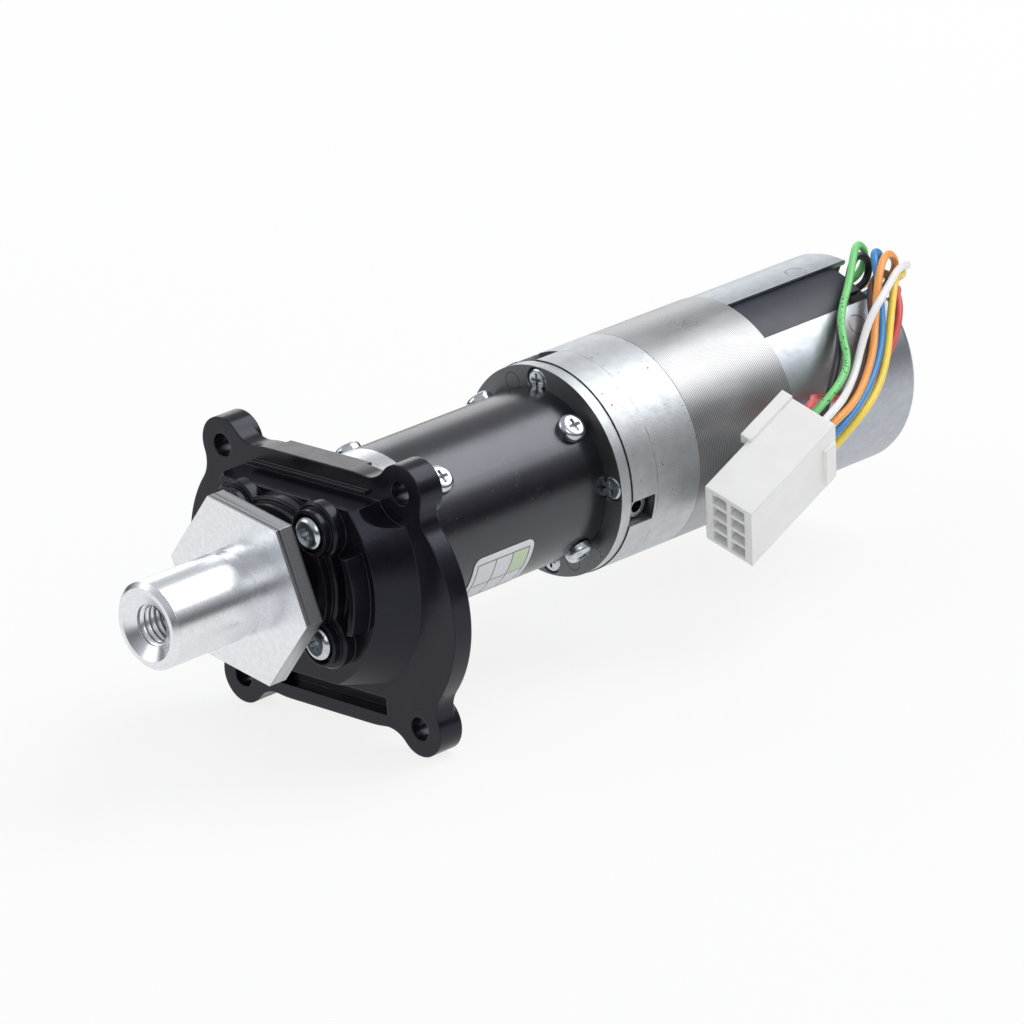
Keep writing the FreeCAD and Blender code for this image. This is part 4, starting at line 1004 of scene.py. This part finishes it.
def finishes() -> dict[str, Finish]:
    """Finish for each material slot of the record.

    Returns:
        Finishes by slot name.
    """
    table: dict[str, Finish] = {
        # Glass filled nylon: near black with a violet cast, glossier where the mould was polished.
        "black_plastic": MouldedPlastic(
            "black_nylon", "#121118", "#18171f", 0.22,
            edge_mm=0.4, ior=1.4, sheen="#dfe0f5", scuff="#5a5960",
        ),
        # Zinc plated screws: bright with a blue cast.
        "zinc_screw": PlatedSteel("zinc_screw", "#d5dade", "#aeb6bd", roughness=0.22),
        # Machined aluminium of the hub.
        "machined_aluminium": HubAluminium(),
        # The cap is turned too, but fine enough that its lines hardly show.
        "turned_aluminium": TurnedMetal(
            "turned_aluminium", "#d9dbde", "#cbced2", 0.3, pitch_mm=0.25, line_depth_mm=0.0015
        ),
        # Satin powder coat of the gearbox tube.
        "black_tube": CoatedTube(),
        # Ground steel of shafts, pins and rings.
        "steel": TurnedMetal(
            "ground_steel", "#b9bbbe", "#97999d", 0.24, pitch_mm=0.2, line_depth_mm=0.002
        ),
        # Polished steel of the bearing rings, the brightest steel here.
        "bearing_steel": TurnedMetal("bearing_steel", "#c6c8cb", "#a9abae", 0.16, pitch_mm=0.3),
        # Nitrile rubber: dark, matt and slightly brown.
        "rubber": MouldedPlastic("nitrile_rubber", "#211f1e", "#2b2928", 0.62, grain_mm=0.3),
        # Matt white label paper.
        "label": PaperLabel(),
        # Bright die-cast zinc of the plate and the housing.
        "cast_metal": CastMetal(
            "die_cast_zinc", "#ccd0d2", "#bec2c5", "#2f3134", front="#77797c",
            seams_mm=(60.3, 78.4), parting_mm=67.0, marks_mm=((-6.6, 57.7, 16.5), (6.1, 57.7, -16.7)),
        ),
        # Sintered steel of gears and carriers: grey and porous.
        "gear_steel": CastMetal("sintered_gear_steel", "#8b8c8f", "#77787b", "#3b3b3d"),
        # Ring gear of steel, left as the lathe cut it.
        "ring_steel": RidgedSteel(),
        # Zinc plated sheet of the motor sleeve, with painted shade in dark open rings for two dents from
        # its tooling.
        "zinc_sleeve": PlatedSteel(
            "zinc_sleeve", "#bbbfc6", "#b0b5bc", roughness=0.42,
            dents_mm=((16.6, 127.0, 12.4), (1.8, 126.0, 20.6)),
        ),
        # Satin dark grey polyamide.
        "grey_plastic": MouldedPlastic("grey_polyamide", "#242936", "#2a303e", 0.4, grain_mm=0.4),
        # Stacked sheets of the stator and the rotor.
        "core_steel": LaminatedSteel(),
        # Windings of enamelled wire.
        "copper": WoundCopper(),
        # Board that carries the sensors.
        "board": GlassFibreBoard(),
        # Black epoxy of the sensors: matt, with crisp edges.
        "sensor": MouldedPlastic(
            "sensor_epoxy", "#1b1b1c", "#262627", 0.45, grain_mm=0.3, edge_mm=0.1
        ),
        # Sintered magnet: dark grey and dull.
        "magnet": CastMetal("sintered_magnet", "#4b4c50", "#3c3d41", "#232427"),
        # Nylon plug housing: milky white, satin.
        "white_plastic": MouldedPlastic("white_nylon", "#fdfdfb", "#f8f8f5", 0.4, edge_mm=0.35),
        # Tin plated contacts: warm grey.
        "tin": TurnedMetal("tinned_contact", "#c9c2ae", "#aaa28c", 0.3, pitch_mm=0.5),
    }
    for colour, base in WIRE_COLOURS.items():
        ink = PRINT_INK if colour == PRINTED_WIRE else None
        table[f"wire_{colour}"] = WireInsulation(f"insulation_{colour}", base, ink)
    return table


# Meshes


def make_object(
    name: str, mesh: bmesh.types.BMesh, body: Body, finish: bpy.types.Material
) -> bpy.types.Object:
    """Turns a bmesh into a piece that rides on a body.

    Args:
        name: Name of the piece.
        mesh: Its mesh, freed here.
        body: Body it rides on.
        finish: Its material.

    Returns:
        The object.
    """
    data = bpy.data.meshes.new(name)
    mesh.to_mesh(data)
    mesh.free()
    data.materials.append(finish)
    piece = bpy.data.objects.new(name, data)
    bpy.context.scene.collection.objects.link(piece)
    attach(piece, body.value)
    return piece


def on_round(radius_mm: float, angle_deg: float, along_mm: float) -> Vector:
    """Point on a round surface about the motor axis.

    Args:
        radius_mm: Radius of the surface.
        angle_deg: Angle from straight up towards +X.
        along_mm: Place on the axis.

    Returns:
        The point in metres.
    """
    angle = math.radians(angle_deg)
    return Vector((radius_mm * math.sin(angle), along_mm, radius_mm * math.cos(angle))) * MM


# Studio


@dataclass(frozen=True)
class SoftBox:
    """Square lamp: its name, its place, the length of its side and its watts."""

    name: str
    place: Point
    side: float
    watts: float


@dataclass
class Studio:
    """Pale floor, soft light and the camera of the picture."""

    # The camera was fitted to the picture: its place, its three directions and its lens in pixels.
    camera_place: Point = (942.46, -821.76, 448.52)
    camera_right: Point = (0.69587, 0.71425, -0.07490)
    camera_up: Point = (-0.19036, 0.28401, 0.93974)
    camera_forward: Point = (-0.69248, 0.63968, -0.33359)
    focal_px: float = 7293.4
    picture_px: float = 1024.0
    sensor_width: float = 36.0
    near_clip: float = 50.0
    far_clip: float = 20000.0
    floor_level: float = -33.3
    floor_half: float = 3000.0
    paper: str = "#f2f2f2"
    white: str = "#ffffff"
    # Distances from the part at which the lit floor ends, its reflection is dark and its picture is white.
    lit_floor: float = 220.0
    dark_floor: float = 450.0
    white_floor: float = 900.0
    dark_glow: float = 0.1
    near_glow_share: float = 0.82
    horizon: str = "#3c3c40"
    low_wall: str = "#56565a"
    ceiling: str = "#d8d9dc"
    low_wall_height: float = 0.12
    ceiling_height: float = 0.45
    room_light: float = 0.8
    # A bright box above and behind, a low one behind on the left, and two fills in front.
    soft_boxes: tuple[SoftBox, ...] = (
        SoftBox("overhead_box", (400.0, 1050.0, 1200.0), 1200.0, 14.5),
        SoftBox("rear_left_panel", (-1150.0, 950.0, 250.0), 900.0, 3.8),
        SoftBox("left_fill", (-1100.0, -900.0, 700.0), 900.0, 4.6),
        SoftBox("right_fill", (1300.0, -700.0, 1000.0), 800.0, 3.4),
    )
    lamp_target: Point = (0.0, 50.0, 0.0)

    def build(self) -> None:
        """Makes the camera, the floor, the world and the lamps."""
        self.make_camera()
        self.make_floor()
        self.make_world()
        for box in self.soft_boxes:
            self.hang(box)
        bpy.context.scene.view_settings.view_transform = "Standard"
        LOG.info("studio with %d lamps", len(self.soft_boxes))

    def make_camera(self) -> None:
        """Makes the camera with a long lens, as the picture was taken."""
        data = bpy.data.cameras.new("picture_camera")
        data.sensor_width = self.sensor_width
        data.lens = self.focal_px / self.picture_px * self.sensor_width
        data.clip_start = self.near_clip * MM
        data.clip_end = self.far_clip * MM
        camera = bpy.data.objects.new("picture_camera", data)
        turn = Matrix((self.camera_right, self.camera_up, -Vector(self.camera_forward))).transposed()
        place = Matrix.Translation(Vector(self.camera_place) * MM)
        camera.matrix_world = place @ turn.to_4x4()
        bpy.context.scene.collection.objects.link(camera)
        bpy.context.scene.camera = camera

    def make_floor(self) -> None:
        """Makes the floor: one large square sheet of paper."""
        mesh = bmesh.new()
        corners = [
            mesh.verts.new((x * self.floor_half * MM, y * self.floor_half * MM, self.floor_level * MM))
            for x, y in ((-1, -1), (1, -1), (1, 1), (-1, 1))
        ]
        mesh.faces.new(corners)
        data = bpy.data.meshes.new("floor")
        mesh.to_mesh(data)
        mesh.free()
        data.materials.append(self.floor_paper())
        floor = bpy.data.objects.new("floor", data)
        bpy.context.scene.collection.objects.link(floor)

    def floor_paper(self) -> bpy.types.Material:
        """Matt white paper that the camera and metals see as white, with the object's shadow kept.

        Returns:
            The material.
        """
        material = bpy.data.materials.new("paper_floor")
        material.use_nodes = True
        tree = material.node_tree
        tree.nodes.clear()
        reach = add_node(
            tree, "VectorMath", {0: add_node(tree, "TexCoord").outputs["Object"]}, operation="LENGTH"
        ).outputs["Value"]
        rays = add_node(tree, "LightPath").outputs
        camera = rays["Is Camera Ray"]
        # The lit paper ends in the dark of the studio, which only reflections near the horizon show.
        lit = self.fade(tree, reach, self.dark_floor, 1.0, self.dark_glow)
        strength = add_node(tree, "Math", {0: camera, 1: lit}, operation="MAXIMUM")
        # Far out, where no shadow falls, the paper runs into the white of the room.
        share = self.fade(tree, reach, self.white_floor, self.near_glow_share, 1.0)
        bounced = add_node(
            tree, "Math", {0: rays["Is Glossy Ray"], 1: rays["Is Transmission Ray"]}, operation="MAXIMUM"
        )
        seen = add_node(tree, "Math", {0: camera, 1: bounced.outputs[0]}, operation="MAXIMUM")
        amount = add_node(tree, "Math", {0: seen.outputs[0], 1: share}, operation="MULTIPLY")
        paper = add_node(tree, "BsdfDiffuse", {"Color": linear(self.paper)})
        glow = add_node(
            tree, "Emission", {"Color": linear(self.white), "Strength": strength.outputs[0]}
        )
        mix = add_node(
            tree, "MixShader", {0: amount.outputs[0], 1: paper.outputs[0], 2: glow.outputs[0]}
        )
        add_node(tree, "OutputMaterial", {"Surface": mix.outputs[0]})
        return material

    def fade(
        self, tree: bpy.types.NodeTree, reach: Socket, far: float, near_value: float, far_value: float
    ) -> Socket:
        """Value that changes outwards over the floor, from the end of the lit part.

        Args:
            tree: Tree that gets the node.
            reach: Distance from the middle, in metres.
            far: Distance at which the change ends.
            near_value: Value on the lit part.
            far_value: Value from there on.

        Returns:
            The value.
        """
        return add_node(
            tree, "MapRange",
            {"Value": reach, "From Min": self.lit_floor * MM, "From Max": far * MM,
             "To Min": near_value, "To Max": far_value},
        ).outputs[0]

    def make_world(self) -> None:
        """Makes the room: pale above, darker over the horizon, and white behind the floor."""
        world = bpy.data.worlds.new("studio_room")
        bpy.context.scene.world = world
        world.use_nodes = True
        tree = world.node_tree
        tree.nodes.clear()
        height = add_node(
            tree, "SeparateXYZ", {0: add_node(tree, "TexCoord").outputs["Generated"]}
        ).outputs["Z"]
        walls = add_node(tree, "ValToRGB", {"Fac": height})
        stops = walls.color_ramp.elements
        stops[0].position = 0.0
        stops[0].color = linear(self.horizon)
        stops[1].position = self.ceiling_height
        stops[1].color = linear(self.ceiling)
        stops.new(self.low_wall_height).color = linear(self.low_wall)
        seen = add_node(tree, "LightPath").outputs["Is Camera Ray"]
        room = add_node(tree, "Background", {"Color": walls.outputs[0], "Strength": self.room_light})
        white = add_node(tree, "Background", {"Color": linear(self.white), "Strength": 1.0})
        mix = add_node(tree, "MixShader", {0: seen, 1: room.outputs[0], 2: white.outputs[0]})
        add_node(tree, "OutputWorld", {"Surface": mix.outputs[0]})

    def hang(self, box: SoftBox) -> None:
        """Hangs a lamp and turns it to the part.

        Args:
            box: The lamp.
        """
        data = bpy.data.lights.new(box.name, "AREA")
        data.shape = "SQUARE"
        data.size = box.side * MM
        data.energy = box.watts
        lamp = bpy.data.objects.new(box.name, data)
        lamp.location = Vector(box.place) * MM
        aim = Vector(self.lamp_target) - Vector(box.place)
        lamp.rotation_mode = "QUATERNION"
        lamp.rotation_quaternion = aim.to_track_quat("-Z", "Y")
        bpy.context.scene.collection.objects.link(lamp)


# Sub-assemblies


@dataclass
class SubAssembly:
    """Nodes of the part that belong together, and what they are dressed with."""

    materials: Materials
    nodes: tuple[str, ...] = ()

    def build(self) -> None:
        """Makes the pieces that the nodes don't have. Most sub-assemblies have none."""

    def dress(self) -> None:
        """Gives each node the finishes of its slots."""
        for name in self.nodes:
            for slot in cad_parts[name].material_slots:
                plain = slot.material.name.split(".")[0]
                slot.material = self.materials[plain]
            LOG.info("node %s dressed", name)


@dataclass
class WireLoom(SubAssembly):
    """Eight insulated wires that turn back over the rim of the motor and end in the plug."""

    nodes: tuple[str, ...] = tuple(f"wire_{colour}" for colour in WIRE_COLOURS)
    diameter: float = 1.5
    round_steps: int = 5
    curve_steps: int = 14
    routes: dict[str, list[Point]] = field(default_factory=lambda: {
        "green": [
            (3.8, 136.9, 15.5), (3.8, 139.8, 15.5), (4.4, 142.2, 17.8), (5.2, 142.1, 21.1),
            (5.7, 139.6, 23.4), (8.6, 135.4, 23.2), (12.7, 129.4, 19.3), (16.8, 122.5, 16.4),
            (20.3, 118.7, 13.9), (25.0, 115.4, 9.5), (28.2, 109.1, 7.5), (29.16, 102.97, 5.16),
            (29.09, 98.07, 2.88),
        ],
        "black": [
            (5.9, 136.9, 14.5), (5.9, 139.6, 14.5), (6.1, 141.5, 16.3), (6.7, 141.3, 19.2),
            (7.3, 139.4, 21.2), (7.6, 136.2, 21.9), (11.4, 130.0, 18.2), (16.0, 122.9, 14.9),
            (20.0, 118.5, 11.6), (23.4, 113.0, 8.0), (26.4, 106.9, 3.3), (27.49, 104.48, 1.97),
            (27.42, 99.58, -0.31),
        ],
        "blue": [
            (8.0, 136.9, 13.5), (8.0, 140.1, 13.5), (8.2, 142.7, 16.5), (9.1, 142.3, 21.0),
            (10.5, 138.7, 23.0), (15.3, 134.6, 19.1), (20.0, 130.4, 12.9), (23.2, 126.0, 8.7),
            (26.7, 119.6, 5.2), (29.4, 112.2, 2.1), (31.28, 105.19, 0.32), (31.22, 100.3, -1.96),
        ],
        "brown": [
            (10.0, 136.9, 12.4), (10.0, 139.9, 12.4), (10.6, 141.9, 14.3), (11.8, 141.7, 17.4),
            (12.2, 138.4, 19.0), (14.3, 133.3, 17.8), (19.2, 128.4, 12.9), (23.1, 122.8, 7.1),
            (26.1, 116.9, 3.9), (25.82, 105.98, -1.21), (25.75, 101.09, -3.5),
        ],
        "orange": [
            (6.8, 136.9, 11.1), (6.8, 140.8, 11.1), (8.6, 144.6, 14.5), (11.2, 144.5, 19.3),
            (13.3, 139.6, 23.2), (17.5, 132.6, 21.2), (20.5, 127.9, 14.2), (24.1, 123.3, 9.7),
            (27.7, 116.4, 5.5), (30.2, 110.1, 3.4), (32.95, 103.68, 3.51), (32.89, 98.79, 1.22),
        ],
        "red": [
            (8.9, 136.9, 10.1), (8.9, 141.3, 10.1), (10.3, 143.4, 11.7), (12.4, 143.3, 14.0),
            (13.8, 140.6, 15.6), (18.0, 137.6, 13.4), (20.6, 133.2, 9.0), (22.0, 128.0, 5.5),
            (22.2, 122.2, 1.6), (22.1, 116.0, 1.2), (21.8, 110.4, 3.4), (24.3, 105.5, 5.2),
            (30.81, 99.8, 7.57), (30.76, 96.56, 6.06),
        ],
        "yellow": [
            (4.8, 136.9, 12.2), (4.8, 143.0, 12.2), (7.5, 146.3, 14.0), (11.6, 146.2, 16.6),
            (14.4, 140.6, 18.4), (17.6, 136.0, 15.4), (20.5, 131.8, 11.6), (23.9, 127.2, 7.9),
            (27.0, 121.5, 3.9), (29.6, 114.5, 1.2), (29.61, 106.70, -2.86), (29.55, 101.81, -5.15),
        ],
        "white": [
            (2.7, 136.9, 13.2), (2.7, 143.6, 13.2), (6.4, 147.8, 15.2), (11.7, 147.7, 18.0),
            (15.4, 140.4, 20.0), (20.8, 131.0, 18.8), (22.2, 125.0, 15.7), (23.5, 120.6, 11.3),
            (25.6, 116.4, 7.5), (28.8, 110.4, 5.7), (34.62, 102.17, 6.70), (34.56, 97.28, 4.41),
        ],
    })
    lengths: dict[str, float] = field(default_factory=lambda: {
        "green": 66.2, "black": 61.7, "blue": 67.2, "brown": 59.3,
        "orange": 72.6, "red": 68.5, "yellow": 70.1, "white": 78.1,
    })

    def build(self) -> None:
        """Makes each wire as a smooth curve through its route."""
        for colour, route in self.routes.items():
            wire = self.make_wire(colour, route)
            LOG.info("wire %s, %.1f mm long", colour, self.lengths[colour])

    def make_wire(self, colour: str, route: list[Point]) -> bpy.types.Object:
        """Makes one wire.

        Args:
            colour: Colour in the names.
            route: Control points in millimetres.

        Returns:
            The curve object.
        """
        curve = bpy.data.curves.new(f"insulated_wire_{colour}", "CURVE")
        curve.dimensions = "3D"
        curve.bevel_depth = self.diameter / 2 * MM
        curve.bevel_resolution = self.round_steps
        curve.resolution_u = self.curve_steps
        curve.use_fill_caps = True
        spline = curve.splines.new("NURBS")
        spline.points.add(len(route) - 1)
        for point, place in zip(spline.points, route):
            point.co = (*[coordinate * MM for coordinate in place], 1.0)
        spline.order_u = 3
        spline.use_endpoint_u = True
        spline.resolution_u = self.curve_steps
        curve.materials.append(self.materials[f"wire_{colour}"])
        wire = bpy.data.objects.new(f"insulated_wire_{colour}", curve)
        bpy.context.scene.collection.objects.link(wire)
        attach(wire, Body.HOUSING.value)
        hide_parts(f"wire_{colour}")
        return wire


@dataclass
class OutputHub(SubAssembly):
    """Hub with its shaft and key, and the female M8 thread in its nose, cut with a pitch of 1.25 mm."""

    nodes: tuple[str, ...] = ("output_hub", "output_shaft", "hub_key")
    pitch: float = 1.25
    # The foot of the ridge stands 0.02 mm inside the wall of the bore, so that no gap shows.
    root_radius: float = 4.02
    crest_radius: float = 3.4
    crest_width: float = 0.2
    root_width: float = 1.0
    start: float = -40.4
    end: float = -27.3
    steps_per_turn: int = 40
    run_out_steps: int = 12

    def build(self) -> None:
        """Winds the thread's ridge round the bore."""
        mesh = bmesh.new()
        turns = (self.end - self.start) / self.pitch
        steps = int(turns * self.steps_per_turn)
        profile = (
            (self.root_radius, -self.root_width / 2),
            (self.crest_radius, -self.crest_width / 2),
            (self.crest_radius, self.crest_width / 2),
            (self.root_radius, self.root_width / 2),
        )
        rows = []
        for step in range(steps + 1):
            angle = 360.0 * step / self.steps_per_turn
            along = self.start + self.pitch * step / self.steps_per_turn
            rise = min(1.0, step / self.run_out_steps, (steps - step) / self.run_out_steps)
            row = []
            for radius, shift in profile:
                eased = self.root_radius + (radius - self.root_radius) * rise
                row.append(mesh.verts.new(on_round(eased, angle, along + shift)))
            rows.append(row)
        for before, after in zip(rows, rows[1:]):
            for side in range(len(profile) - 1):
                face = mesh.faces.new((before[side], after[side], after[side + 1], before[side + 1]))
                face.smooth = True
        bmesh.ops.recalc_face_normals(mesh, faces=mesh.faces)
        slot = "machined_aluminium"
        make_object("hub_thread", mesh, Body.OUTPUT, self.materials[slot])
        LOG.info("hub thread, %.1f turns", turns)


@dataclass
class GearboxTube(SubAssembly):
    """Coated tube with its cap and screws, and the rounded paper label on its side, bare of words."""

    nodes: tuple[str, ...] = (
        "gearbox_tube", "front_cap", "front_tube_screws", "rear_tube_screws", "rating_label"
    )
    # The paper floats 0.02 mm off the coat, so that the two surfaces don't fight.
    radius: float = 16.6
    label_gap: float = 0.02
    label: LabelCut = LabelCut()
    label_start: float = 23.8
    label_middle_angle: float = 127.0
    label_thick: float = 0.13
    label_cells: int = 28

    def build(self) -> None:
        """Lays the label on the tube."""
        mesh = bmesh.new()
        map_layer = mesh.loops.layers.uv.new("label_map")
        rows = [self.label_row(mesh, row) for row in range(self.label_cells + 1)]
        for before, after in zip(rows, rows[1:]):
            for column in range(self.label_cells):
                corners = (before[column], before[column + 1], after[column + 1], after[column])
                face = mesh.faces.new([corner[0] for corner in corners])
                face.smooth = True
                for loop, (_, along, around) in zip(face.loops, corners):
                    loop[map_layer].uv = (along / self.label.map_unit, around / self.label.map_unit)
        bmesh.ops.recalc_face_normals(mesh, faces=mesh.faces)
        piece = make_object("paper_label", mesh, Body.HOUSING, self.materials["label"])
        paper = piece.modifiers.new("paper", "SOLIDIFY")
        paper.thickness = self.label_thick * MM
        paper.offset = -1.0
        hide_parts("rating_label")
        LOG.info("label, %.1f by %.1f mm", self.label.length, self.label.width)

    def label_row(
        self, mesh: bmesh.types.BMesh, row: int
    ) -> list[tuple[bmesh.types.BMVert, float, float]]:
        """Makes one row of the label's corners. The rows stand closer at both ends, for the round corners.

        Args:
            mesh: Mesh that gets them.
            row: Number of the row along the axis.

        Returns:
            Each corner, with its place along the label and round it in millimetres.
        """
        outside = self.radius + self.label_gap + self.label_thick
        along = self.label.length * (0.5 - 0.5 * math.cos(math.pi * row / self.label_cells))
        inset = self.label_inset(along)
        line = []
        for column in range(self.label_cells + 1):
            around = inset + (self.label.width - 2 * inset) * column / self.label_cells
            turn = math.degrees((around - self.label.width / 2) / outside)
            place = on_round(outside, self.label_middle_angle + turn, self.label_start + along)
            line.append((mesh.verts.new(place), along, around))
        return line

    def label_inset(self, along: float) -> float:
        """How far the rounded corners draw the label's sides in.

        Args:
            along: Place along the label.

        Returns:
            The inset in millimetres.
        """
        corner = self.label.corner
        depth = corner - min(along, self.label.length - along)
        if depth <= 0:
            return 0.0
        return corner - math.sqrt(max(0.0, corner ** 2 - depth ** 2))


@dataclass
class MountingFlange(SubAssembly):
    """Moulded flange and its four screws."""

    nodes: tuple[str, ...] = ("mounting_flange", "flange_screws")


@dataclass
class ShaftSupport(SubAssembly):
    """Seal and bearings that carry the output shaft, with the ring that holds them."""

    nodes: tuple[str, ...] = (
        "shaft_seal", "front_bearing_outer", "front_bearing_inner", "rear_bearing_outer",
        "rear_bearing_inner", "bearing_circlip",
    )


@dataclass
class PlanetaryGearbox(SubAssembly):
    """Plate, cast housing and ring gear, with the two planetary stages inside."""

    nodes: tuple[str, ...] = (
        "gearbox_front_plate", "plate_screws", "cast_housing", "locating_pins", "ring_gear",
        "output_carrier", "output_carrier_pins", "first_carrier", "first_carrier_pins",
        "second_sun", "first_sun", "output_planet_1", "output_planet_2", "output_planet_3",
        "first_planet_1", "first_planet_2", "first_planet_3", "motor_adapter",
    )


@dataclass
class BrushlessMotor(SubAssembly):
    """Sleeve with its slot cover, stator, rotor, sensor board and rear end of the motor."""

    nodes: tuple[str, ...] = (
        "motor_sleeve", "slot_cover", "stator_core", "stator_coils", "hall_board", "hall_sensors",
        "board_screws", "rear_end_bell", "wire_grommet", "rotor_shaft", "rotor_core",
        "rotor_magnet", "motor_bearing_outers", "motor_bearing_inners",
    )


@dataclass
class WirePlug(SubAssembly):
    """Eight way plug at the end of the wires."""

    nodes: tuple[str, ...] = ("connector_housing", "connector_contacts")


SUB_ASSEMBLIES: tuple[type[SubAssembly], ...] = (
    WireLoom, OutputHub, GearboxTube, MountingFlange, ShaftSupport, PlanetaryGearbox, BrushlessMotor,
    WirePlug,
)


def main() -> None:
    """Builds the studio, then each sub-assembly in order, and checks that every node is dressed."""
    logging.basicConfig(level=logging.INFO, format="%(name)s: %(message)s")
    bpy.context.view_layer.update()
    materials = {slot: finish.material() for slot, finish in finishes().items()}
    Studio().build()
    dressed: set[str] = set()
    for kind in SUB_ASSEMBLIES:
        sub_assembly = kind(materials)
        sub_assembly.build()
        sub_assembly.dress()
        dressed.update(sub_assembly.nodes)
    plain = sorted(set(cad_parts) - dressed)
    if plain:
        raise ValueError(f"nodes without a finish: {plain}")


if __name__ == "__main__":
    main()
